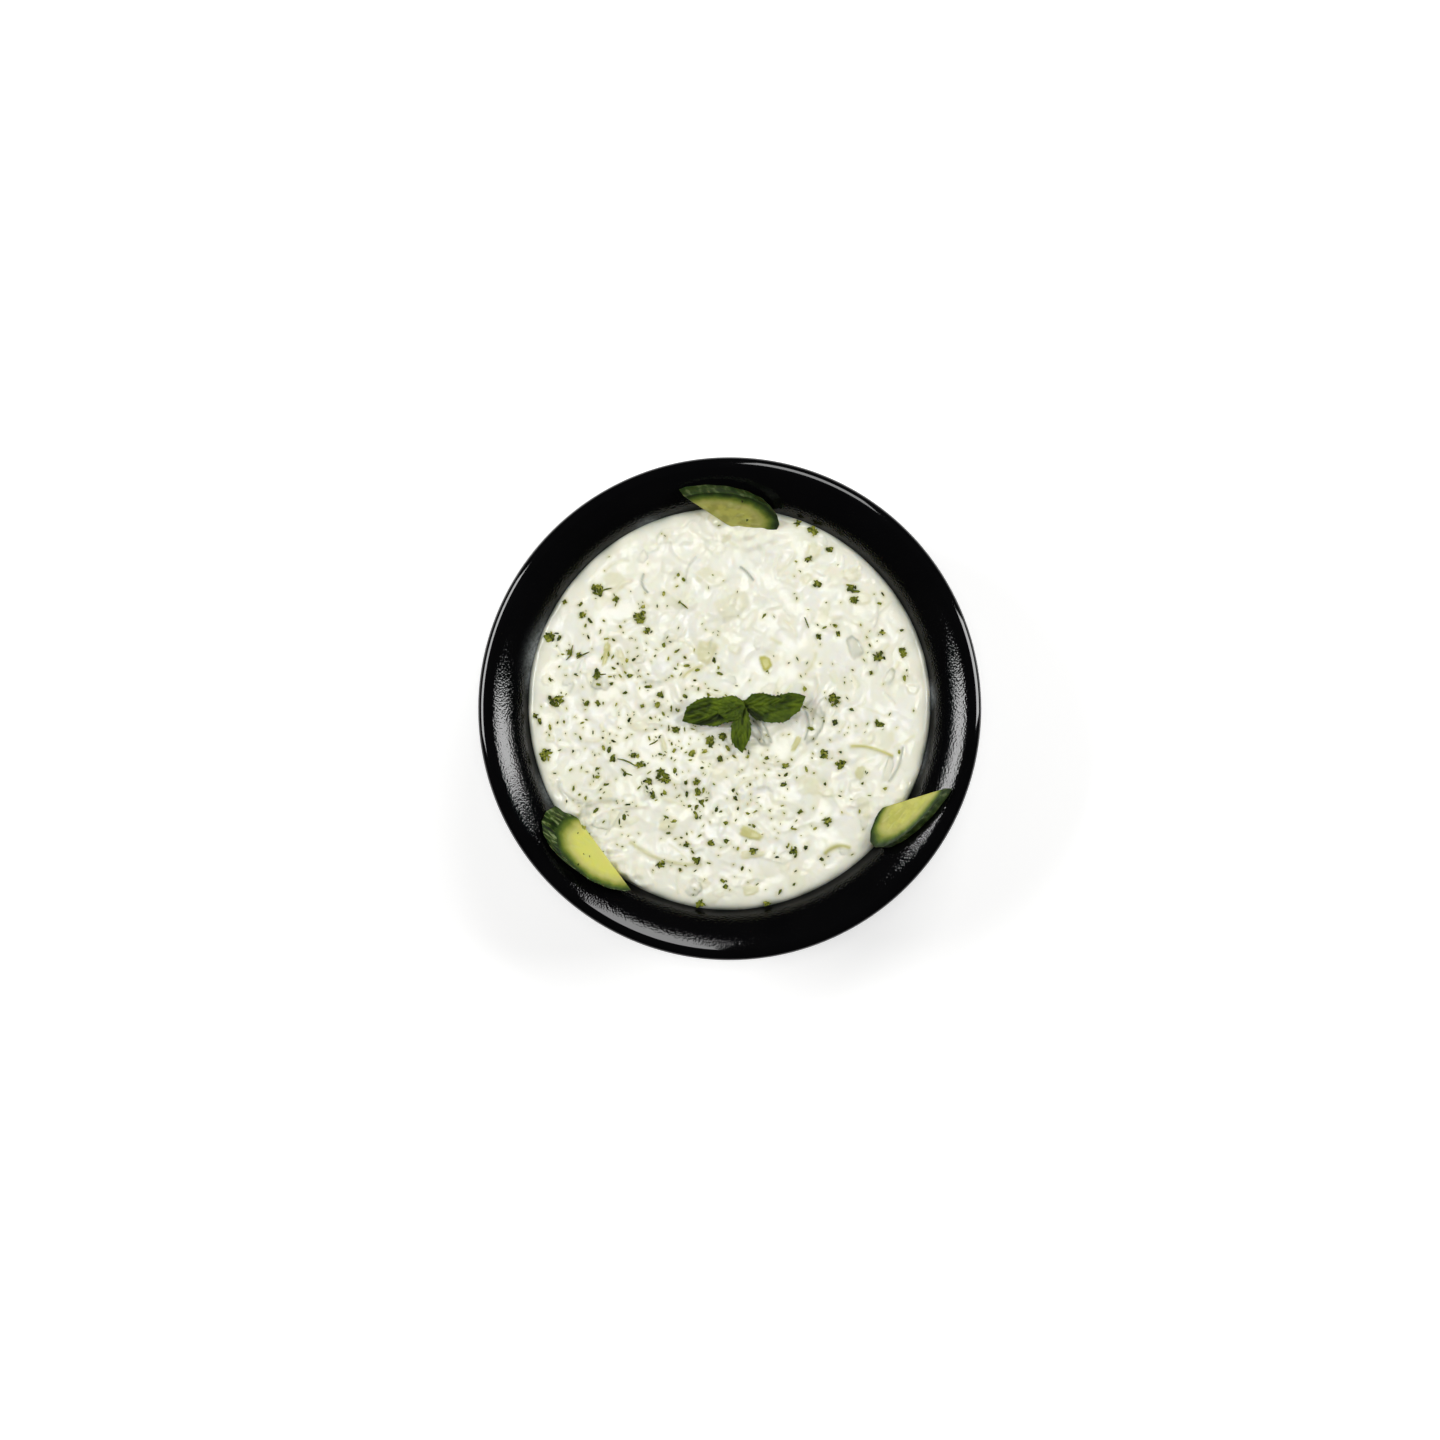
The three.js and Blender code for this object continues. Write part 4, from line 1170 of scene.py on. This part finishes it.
def leaf_points(leaf):
    """The upper side of a leaf as a grid of points, with how strong its veins are and the painted
    shade of its creases.
    """
    start, end = np.array(leaf["base"], float), np.array(leaf["tip"], float)
    run = end - start
    length = np.linalg.norm(run)
    side = unit((-run[1], run[0], 0))
    u, v = np.meshgrid(1 - (1 - np.linspace(0, 1, LEAF_ROWS + 1)) ** TIP_CROWDING,
                       np.linspace(-1, 1, LEAF_COLUMNS + 1), indexing="ij")
    rib = smooth_along(u, leaf["rib"])
    edge = np.where(v > 0, smooth_along(u, leaf["left"]), smooth_along(u, leaf["right"]))
    width = np.abs(edge - rib)
    reach = rib + (edge - rib) * np.abs(v) + np.sign(v) * leaf_teeth(leaf, u, v, width)
    at_vein = (u - VEIN_SLANT * np.abs(v) ** 1.2 + 0.04 * (v > 0)) * leaf["veins"]
    vein = np.cos(math.pi * at_vein) ** 10 * (1 - smooth_step(0.7, 1.0, np.abs(v)))
    midrib = np.exp(-(((reach - rib) / MIDRIB_WIDTH) ** 2))
    dents = leaf_creases(leaf, u * length, reach, length)
    creased = 0.10 * ripple(u * length * 0.3, reach, 1.3, leaf["teeth"] + leaf["veins"])
    full = np.minimum(width / 4.0, 1.0)
    height = leaf["arch"] * np.sin(math.pi * u) + leaf["roll"] * reach - dents + full * (
        leaf["fold"] * v * v + leaf["quilt"] * (1 - vein) * (1 - v**4)
        - MIDRIB_DEPTH * midrib * (1 - 0.7 * u) + creased)
    points = start + u[..., None] * run + side * reach[..., None]
    points[..., 2] += height
    # The third value is painted shade: dark in the deep creases and in the troughs of the small
    # ripples.
    return points, np.maximum(0.8 * midrib, 0.5 * vein), np.clip(1.3 * dents - 2.0 * creased, 0, 1)


# %% Closed sheets
def sheet_mesh(grids):
    """Closed thin sheets: each grid, the same grid one thickness lower, and edges between."""
    points, faces, veins, shades, base = [], [], [], [], 0
    for grid, vein, shade in grids:
        count = vein.size
        number = np.arange(count).reshape(vein.shape) + base
        a, b, c, d = number[:-1, :-1], number[1:, :-1], number[1:, 1:], number[:-1, 1:]
        top = np.stack([a, b, c, d], -1).reshape(-1, 4)
        faces += [top, top[:, ::-1] + count]
        rim = np.concatenate([number[0], number[1:, -1], number[-1, -2::-1], number[-2:0:-1, 0]])
        after = np.roll(rim, -1)
        faces.append(np.stack([rim, after, after + count, rim + count], 1))
        flat = grid.reshape(-1, 3)
        points += [flat, flat - np.array([0, 0, LEAF_THICKNESS])]
        veins += [vein.ravel(), vein.ravel()]
        shades += [shade.ravel(), shade.ravel()]
        base += 2 * count
    return face_outwards(mesh_from("mint", np.concatenate(points), np.concatenate(faces),
                                   vein=np.concatenate(veins), shade=np.concatenate(shades)))


# %% [markdown]
# Mint is a deep yellow-green. It is not glossy, for fine hairs cover it, so the shader's
# specular level is low. The creases of the relief are darkened as well, because hardly any
# light gets into so narrow a fold.


# %% Mint leaf
def mint_leaf():
    material, tree, shader, place = finish(
        "mint_leaf", Subsurface_Weight=0.05, Subsurface_Scale=0.5 * MM, Specular_IOR_Level=0.14)
    patches = effect(tree, MOTTLE, place, Size_mm=4.0, Contrast=2.6)
    colour = blend_colours(tree, patches, colour_of(50, 68, 14), colour_of(94, 114, 22))
    veins = arithmetic(tree, "MULTIPLY", kept_value(tree, "vein"), 0.3)
    colour = blend_colours(tree, veins, colour, colour_of(54, 68, 16))
    # Painted shade: the creases are darkened towards a near-black green.
    crease_shade = arithmetic(tree, "MULTIPLY", kept_value(tree, "shade"), 0.9)
    colour = blend_colours(tree, crease_shade, colour, colour_of(24, 32, 14))
    feed(tree, shader, Base_Color=colour, Roughness=rescale(tree, patches, 0.0, 1.0, 0.5, 0.65))
    bump(tree, shader, effect(tree, GRAIN, place, Size_mm=0.5, Sharpness=0.5), 0.10)
    return material


# %% The sprig
mint = piece_from("mint_leaves", sheet_mesh([leaf_points(leaf) for leaf in LEAVES]), mint_leaf())
print(f"mint: {len(mint.data.polygons)} faces")

# %% [markdown]
# ## Dried herbs
# Dried oregano and parsley fall as ragged crumbs, some as large as a lentil, most much
# smaller. Two Geometry Nodes trees lay them. The first puts one crumb on each given point, at
# the size, turn and shade that the point carries; a noise that is read in the plan then pulls
# each crumb out of shape, top and underside alike, so that no two are the same and none turns
# inside out. The second strews points over the dip itself, more where `strewn` is high, gives
# them random values from a seed, and hands them to the first.


# %% Crumbs on points
RAGGED_SCALE = 1300.0
RAGGED_PULL = 4.0


def crumb_tree():
    group, given, result = geometry_tree("crumbs on points", {
        "Sides": 8, "Thickness": 0.35 * MM, "Raggedness": 0.5 * MM, "Curl": 0.3 * MM})
    puck = node(group, "GeometryNodeMeshCylinder", {
        "Vertices": given.outputs["Sides"], "Radius": 0.5, "Depth": 1.0}, fill_type="TRIANGLE_FAN")
    turn = combine(group, *(named_value(group, key) for key in ("lean", "tip", "turn")))
    size = named_value(group, "size")
    narrow = arithmetic(group, "MULTIPLY", size, named_value(group, "stretch"))
    scale = combine(group, size, narrow, given.outputs["Thickness"])
    placed = node(group, "GeometryNodeInstanceOnPoints", {
        "Points": given.outputs["Geometry"], "Instance": puck.outputs["Mesh"], "Rotation": turn,
        "Scale": scale})
    real = node(group, "GeometryNodeRealizeInstances", {"Geometry": placed.outputs["Instances"]})
    position = node(group, "GeometryNodeInputPosition").outputs["Position"]
    apart = node(group, "ShaderNodeSeparateXYZ", {"Vector": position})
    plan = combine(group, apart.outputs["X"], apart.outputs["Y"])
    noise = node(group, "ShaderNodeTexNoise", {
        "Vector": plan, "Scale": RAGGED_SCALE, "Detail": 1.5})
    centred = node(group, "ShaderNodeVectorMath", {0: noise.outputs["Color"], 1: (0.5, 0.5, 0.5)},
                   operation="SUBTRACT")
    ragged_by = given.outputs["Raggedness"]
    amount = combine(group, ragged_by, ragged_by, given.outputs["Curl"])
    pull = node(group, "ShaderNodeVectorMath", {0: centred.outputs[0], 1: amount},
                operation="MULTIPLY")
    strong = node(group, "ShaderNodeVectorMath", {0: pull.outputs[0], "Scale": RAGGED_PULL},
                  operation="SCALE")
    ragged = node(group, "GeometryNodeSetPosition", {
        "Geometry": real.outputs["Geometry"], "Offset": strong.outputs[0]})
    end_tree(group, ragged.outputs["Geometry"], given, result)
    return group


CRUMBS = crumb_tree()


# %% Crumbs strewn over a surface
# The higher this power, the fewer of the specks are large.
SPECK_RARITY = 2.8
SPECK_RANGES = {"stretch": (0.25, 0.65), "turn": (0.0, 6.28), "lean": (-0.3, 0.3),
                "tip": (-0.3, 0.3), "shade": (0.0, 1.0), "chance": (0.0, 1.0)}


def random_number(group, low, high, seed):
    """A draw for each point between two numbers, which have sockets of their own on the node."""
    made = node(group, "FunctionNodeRandomValue", {2: low, 3: high, "Seed": seed},
                data_type="FLOAT")
    return made.outputs[1]


def strewn_tree():
    group, given, result = geometry_tree("strewn crumbs", {
        "Per square metre": 20000.0, "Smallest": 0.4 * MM, "Largest": 1.4 * MM, "Seed": 4,
        "Thickness": 0.25 * MM, "Raggedness": 0.2 * MM})
    seed = given.outputs["Seed"]
    density = arithmetic(group, "MULTIPLY", named_value(group, "strewn"),
                         given.outputs["Per square metre"])
    points = node(group, "GeometryNodeDistributePointsOnFaces", {
        "Mesh": given.outputs["Geometry"], "Density": density, "Seed": seed},
        distribute_method="RANDOM")
    geometry = points.outputs["Points"]
    for step, (key, (low, high)) in enumerate(SPECK_RANGES.items()):
        own_seed = arithmetic(group, "ADD", seed, step + 1.0)
        geometry = stored(group, geometry, key, random_number(group, low, high, own_seed))
    rare = arithmetic(group, "POWER", named_value(group, "chance"), SPECK_RARITY)
    size = node(group, "ShaderNodeMapRange", {
        "Value": rare, "To Min": given.outputs["Smallest"],
        "To Max": given.outputs["Largest"]}).outputs[0]
    passed_on = {key: given.outputs[key] for key in ("Thickness", "Raggedness", "Finish")}
    laid = node(group, "GeometryNodeGroup", {
        "Geometry": stored(group, geometry, "size", size), "Sides": 6, "Curl": 0.05 * MM,
        **passed_on}, node_tree=CRUMBS)
    end_tree(group, laid.outputs["Geometry"], given, result)
    return group


# %% [markdown]
# Dried herb is matte and brittle: dark green where a crumb kept its colour, olive and straw
# where it didn't. Each crumb has one shade of its own, and mottle breaks that up.


# %% Dried herb
def dried_herb():
    material, tree, shader, place = finish(
        "dried_herb", Roughness=0.75, Specular_IOR_Level=0.2)
    patches = effect(tree, MOTTLE, place, Size_mm=0.9, Contrast=3.0)
    shade = arithmetic(tree, "MULTIPLY", kept_value(tree, "shade"), 0.6)
    shade = arithmetic(tree, "ADD", shade, arithmetic(tree, "MULTIPLY", patches, 0.4))
    colour = ramp(tree, shade, [
        (0.08, colour_of(36, 44, 14)), (0.35, colour_of(78, 88, 24)),
        (0.6, colour_of(116, 124, 38)), (0.8, colour_of(152, 154, 60)),
        (1.0, colour_of(184, 178, 92))])
    feed(tree, shader, Base_Color=colour)
    bump(tree, shader, effect(tree, GRAIN, place, Size_mm=0.4, Sharpness=0.6), 0.1)
    return material


# %% Places of the larger crumbs
# (x, y, size): the crumbs that stand out, as they lie on the dip.
HERBS = [
    (30, 64, 4.4), (24.5, 67, 2.9), (36, 57.5, 2.9), (28.5, 54, 3.3), (31.5, 45, 3.3),
    (43.5, 43.5, 4.4), (45, 39.5, 3.6), (54, 19, 4.7), (62, 20, 4.4), (55, 27.5, 2.2),
    (32, 26, 2.5), (39, 27, 2.5), (38, 30, 1.8), (37.5, 3, 5.1), (38, -5, 2.2), (54, -5.5, 3.6),
    (51, 13, 1.5), (34, -16.5, 4.0), (40, -20, 4.0), (20, -20.5, 2.9), (19.5, -27.5, 2.5),
    (25.5, -37, 2.2), (35, -40.5, 4.0), (23, -51, 3.6), (8.5, -51, 3.3), (-6.5, -48.5, 3.3),
    (-15.5, -49, 2.5), (-25, -56, 3.3), (-12, -54.5, 3.3), (-18, -58, 1.5), (4.5, -57.5, 1.5),
    (-2.5, -62, 1.8), (-1.5, -64, 1.8), (13.5, -70, 2.9), (-10.5, -70.5, 3.6), (-62.5, 3, 5.8),
    (-66.5, -16.5, 5.1), (-70, -2.5, 2.2), (-68.5, -4.5, 2.5), (-65, 26, 4.4), (-59.5, 38.5, 1.8),
    (-47.5, 43, 5.1), (-41, 39.5, 2.5), (-32.5, 33, 4.7), (-29.5, 28, 3.3), (-53, 34, 2.9),
    (-54.5, 19.5, 2.2), (-57.5, 20.5, 2.9), (-47.5, 12, 3.3), (-36, 12, 2.2), (-42.5, 9, 1.8),
    (-51.5, 2, 2.2), (-47.5, 2, 2.2), (-25, 5, 2.9), (-26, 1.5, 2.2), (-31.5, 1, 1.5),
    (-16, 4.5, 1.8), (-19.5, -7.5, 3.3), (-7, -11.5, 4.4), (-2.5, -10, 3.3), (-13.5, -16, 2.9),
    (-3.5, -18, 2.9), (-24, -25.2, 5.4), (-29, -26.3, 3.0), (-24.5, -22.4, 2.6), (-32, -20.4, 3.8),
    (-42, -17.8, 3.2), (-34.7, -16.7, 2.2), (-20, -15.1, 1.6), (-47.7, -21.5, 1.8),
    (-27.5, -31, 2.9), (-12, -26, 3.3), (-11.5, -30, 3.3), (-12, -35.5, 2.2), (-12, -39, 1.8),
]
# (slice, x, y, size): the few specks that lie on the slices.
SLICE_HERBS = [("back", 4.5, 74.0, 1.5), ("back", 6.4, 68.0, 1.7), ("left", -53.9, -55.4, 1.1),
               ("left", -52.2, -52.0, 0.9), ("left", -50.1, -52.8, 0.8), ("left", -54.4, -44.5, 0.8)]

# %% Bunches of shards
BUNCH_SPREAD = 1.2
SHARDS_PER_SQUARE_MM = 0.5
SHARD_LENGTH = (1.2, 2.8)
SHARD_LIFT = (0.1, 0.35)
SHARD_STRETCH = (0.28, 0.62)
SHARD_LEAN = (-0.35, 0.35)


def crumb_points():
    """A large crumb is a bunch of shards of leaf that lie over each other round its middle."""
    x, y, size, turn, number = [], [], [], [], 0
    for cx, cy, across in HERBS:
        across *= BUNCH_SPREAD
        count = 1 + round(SHARDS_PER_SQUARE_MM * across**2)
        for i in range(count):
            number += 1
            length = between(SHARD_LENGTH, draw(number, 73))
            length = min(length, across) if count > 2 else across
            angle = 2 * math.pi * draw(number, 71)
            reach = 0.5 * (across - length) * math.sqrt(draw(number, 72)) if i else 0
            x.append(cx + reach * math.cos(angle))
            y.append(cy + reach * math.sin(angle))
            size.append(length)
            turn.append(2 * math.pi * draw(number, 76))
    x, y, size = np.array(x), np.array(y), np.array(size)
    n = np.arange(len(x))
    z = dip_surface(x, y)[0] + between(SHARD_LIFT, draw(n, 74))
    values = {"size": size * MM, "stretch": between(SHARD_STRETCH, draw(n, 75)),
              "turn": np.array(turn), "lean": between(SHARD_LEAN, draw(n, 77)),
              "tip": between(SHARD_LEAN, draw(n, 78)), "shade": draw(n, 79) ** 1.3}
    for place_name, at_x, at_y, across in SLICE_HERBS:
        x, y = np.append(x, at_x), np.append(y, at_y)
        z = np.append(z, on_slice(place_name, at_x, at_y) + SHARD_LIFT[1])
        for key, value in (("size", across * MM), ("stretch", 0.5), ("turn", 1.3), ("lean", 0.3),
                           ("tip", 0.2), ("shade", 0.0)):
            values[key] = np.append(values[key], value)
    return mesh_from("crumb places", np.stack([x, y, z], 1), **values)


# %% Lay the crumbs
herb_finish = dried_herb()
crumbs = made_by(CRUMBS, "herb_crumbs", crumb_points(), {
    "Sides": 7, "Thickness": 0.3 * MM, "Raggedness": 0.17 * MM, "Curl": 0.25 * MM,
    "Finish": herb_finish})
specks = made_by(strewn_tree(), "herb_specks", dip.data.copy(), {
    "Per square metre": 88000.0, "Smallest": 0.6 * MM, "Largest": 2.9 * MM, "Seed": 7,
    "Thickness": 0.22 * MM, "Raggedness": 0.1 * MM, "Finish": herb_finish})
for piece in (crumbs, specks):
    print(f"{piece.name}: {len(piece.data.polygons)} faces, {volume_of(piece.data):.3f} ml")

# %% [markdown]
# Moist herb bleeds: a yellow-green halo forms in the yogurt round every crumb. The dip's
# `green` value already tints it, so it is raised where herb lies near. A k-d tree, which is a
# sorted store of points, answers "how far is the nearest crumb" quickly for each dip point.

# %% Stain the yogurt
from mathutils import kdtree

STAIN_REACH = 0.7
STAIN = 0.35
LOWEST_SURFACE = DIP_LEVEL - 3
laid = [v.co for piece in (crumbs, specks) for v in piece.data.vertices]
store = kdtree.KDTree(len(laid))
for index, place in enumerate(laid):
    store.insert(place, index)
store.balance()
tint = dip.data.attributes["green"]
for index, vertex in enumerate(dip.data.vertices):
    if vertex.co.z > LOWEST_SURFACE * MM:
        away = store.find(vertex.co)[2] / MM
        stained = STAIN * math.exp(-((away / STAIN_REACH) ** 2))
        tint.data[index].value = max(tint.data[index].value, stained)
print(f"stained by {len(laid)} points of herb")

# %% [markdown]
# A few stalks lie between the crumbs, like clipped threads. Each is given by the places that it
# passes; a third tree runs a small round section along it, which gets thinner at the ends. The
# stem of the mint, which stands in the dip under the leaves, is a thicker run of the same tree.


# %% Stalks
STALK_RADIUS = 0.28
STEM_RADIUS = 0.9
THINNER_AT_ENDS = 0.6
MINT_STEM = [(5.6, 3.0, 36.5), (5.3, 2.6, 39), (5.0, 2.2, 42), (4.8, 1.9, 44.4)]
STALKS = [
    [(-40.5, -18), (-38.5, -18.3), (-36, -19.3), (-33.5, -20.8)],
    [(-39, -21.5), (-37.5, -23.2), (-35, -24)], [(-49.5, 11.5), (-47, 12.3), (-44.5, 12.5)],
    [(-55, 18), (-53, 19.4), (-50.5, 20.5)], [(-56.5, 23), (-57, 21), (-57, 19.5), (-59, 17.5)],
    [(-47, 42), (-44.8, 43), (-42.5, 43.5)], [(-18, 38.5), (-16.6, 37.4), (-15, 36)],
    [(27, 33), (27.8, 31), (28.6, 29)], [(-29, -13), (-27.2, -12.2), (-25.8, -11.2)],
]


# %% A tree that runs a section along lines
def stalk_tree():
    group, given, result = geometry_tree("stalks", {"Radius": 0.3 * MM, "Sides": 6, "Points": 14})
    curve = node(group, "GeometryNodeMeshToCurve", {"Mesh": given.outputs["Geometry"]})
    even = node(group, "GeometryNodeResampleCurve", {
        "Curve": curve.outputs["Curve"], "Count": given.outputs["Points"]})
    share = node(group, "GeometryNodeSplineParameter").outputs["Factor"]
    away = arithmetic(group, "ABSOLUTE", arithmetic(group, "SUBTRACT", share, 0.5))
    thin = arithmetic(group, "POWER", arithmetic(group, "MULTIPLY", away, 2.0), 3.0)
    thin = arithmetic(group, "MULTIPLY", thin, THINNER_AT_ENDS)
    taper = arithmetic(group, "SUBTRACT", 1.0, thin)
    radius = arithmetic(group, "MULTIPLY", taper, given.outputs["Radius"])
    ring = node(group, "GeometryNodeCurvePrimitiveCircle", {
        "Resolution": given.outputs["Sides"], "Radius": 1.0})
    tube = node(group, "GeometryNodeCurveToMesh", {
        "Curve": even.outputs["Curve"], "Profile Curve": ring.outputs["Curve"], "Scale": radius,
        "Fill Caps": True})
    end_tree(group, tube.outputs["Mesh"], given, result)
    return group


# %% Lay the stalks
def lines_through(paths, shade):
    points, edges = [], []
    for path in paths:
        edges += [(i - 1, i) for i in range(len(points) + 1, len(points) + len(path))]
        points += path
    return mesh_from("lines", points, edges=edges, shade=np.full(len(points), shade))


def on_dip(x, y):
    return x, y, float(dip_surface([x], [y])[0][0]) + STALK_RADIUS


STALK_TREE = stalk_tree()
stalk_paths = [[on_dip(x, y) for x, y in stalk] for stalk in STALKS]
stalks = made_by(STALK_TREE, "herb_stalks", lines_through(stalk_paths, 0.55), {
    "Radius": STALK_RADIUS * MM, "Sides": 6, "Points": 14, "Finish": herb_finish})
stem = made_by(STALK_TREE, "mint_stem", lines_through([MINT_STEM], 0.0), {
    "Radius": STEM_RADIUS * MM, "Sides": 14, "Points": 12, "Finish": mint.data.materials[0]})
for piece in (stalks, stem):
    piece.data.shade_smooth()
print(f"stalks: {len(stalks.data.polygons)} faces, {volume_of(stalks.data):.4f} ml")

# %% [markdown]
# ## Floor, light and camera
# The dish stands on a pale floor, which glows a little, and more with distance, until it is
# nearly as bright as the backdrop. Two low softboxes, left and right, draw the long bands on
# the wall and the thin lines on the lip. A third one behind draws the weaker band in front, and
# a small one overhead gives the wet yogurt its shine. The camera looks straight down from an
# arm's length and a bit. `Standard` keeps the whites of the yogurt as white as they are.


# %% Floor
FLOOR_REACH = 6000
NEAR_GLOW, FAR_GLOW = (0.4, 0.4, 0.4, 1), (0.9, 0.9, 0.9, 1)


def pale_floor():
    material, tree, shader, place = finish("pale_floor", Roughness=0.9, Emission_Strength=1.0)
    patches = effect(tree, MOTTLE, place, Size_mm=60.0, Contrast=1.0)
    colour = blend_colours(tree, patches, colour_of(250, 250, 249), colour_of(253, 253, 252))
    away = node(tree, "ShaderNodeVectorMath", {0: place}, operation="LENGTH").outputs["Value"]
    glow = blend_colours(tree, rescale(tree, away, 0.6, 1.6), NEAR_GLOW, FAR_GLOW)
    feed(tree, shader, Base_Color=colour, Emission_Color=glow)
    corners = [(x * FLOOR_REACH, y * FLOOR_REACH, 0) for x, y in ((-1, -1), (1, -1), (1, 1), (-1, 1))]
    return piece_from("floor", mesh_from("floor", corners, [(0, 1, 2, 3)]), material, smooth=False)


floor = pale_floor()

# %% Lights
from mathutils import Vector


def softbox(name, azimuth, elevation, distance, width, height, brightness):
    """A flat light that faces the dip; azimuth 0 is to the right and 90 behind the dish."""
    light = bpy.data.lights.new(name, "AREA")
    light.shape = "RECTANGLE"
    light.size, light.size_y = width, height
    light.energy = brightness * math.pi * width * height
    box = bpy.data.objects.new(name, light)
    a, e = math.radians(azimuth), math.radians(elevation)
    away = Vector((math.cos(a) * math.cos(e), math.sin(a) * math.cos(e), math.sin(e)))
    box.location = away * distance + Vector((0, 0, DIP_LEVEL * MM))
    box.rotation_euler = away.to_track_quat("Z", "Y").to_euler()
    scene.collection.objects.link(box)


# Azimuth and elevation in degrees, then distance, width and height in metres, and brightness.
softbox("light_left", 167, 39.5, 1.25, 0.73, 0.37, 10.5)
softbox("light_right", 10, 34.5, 1.25, 0.45, 0.51, 10.5)
softbox("light_behind", 70, 49.5, 1.25, 0.43, 0.31, 6)
softbox("light_above", 108, 88, 1.4, 0.31, 0.31, 10.0)

world = bpy.data.worlds.new("studio")
scene.world = world
world.use_nodes = True
sky = world.node_tree
seen = node(sky, "ShaderNodeLightPath").outputs["Is Camera Ray"]
sky.nodes["Background"].inputs["Color"].default_value = (0.99, 0.99, 1.0, 1)
sky.links.new(rescale(sky, seen, 0.0, 1.0, 0.01, 0.9), sky.nodes["Background"].inputs["Strength"])
scene.view_settings.view_transform = "Standard"

# %% Camera
CAMERA_PLACE = (-3.47, -4.04, 896)
LENS = 59.3
SENSOR = 36

camera_data = bpy.data.cameras.new("camera")
camera_data.sensor_width = SENSOR
camera_data.lens = LENS
camera = bpy.data.objects.new("camera", camera_data)
camera.location = Vector(CAMERA_PLACE) * MM
scene.collection.objects.link(camera)
scene.camera = camera

# %% [markdown]
# ## Pieces on one body
# Each piece rides on the one body of the dish. Where a piece stands for a solid, that solid
# is hidden; the herbs and the stem stand for none.

# %% Ride and replace
for piece, slot, nodes in [
    (bowl, "black_melamine", ("bowl",)),
    (dip, "tzatziki", ("tzatziki",)),
    (crumbs, "dried_herb", ()),
    (specks, "dried_herb", ()),
    (stalks, "dried_herb", ()),
    (mint, "mint_leaf", ("mint_sprig",)),
    (stem, "mint_leaf", ()),
    *((slices[name], "cucumber", (f"cucumber_slice_{name}",)) for name in SLICES),
]:
    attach(piece, "root")
    if nodes:
        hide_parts(*nodes)
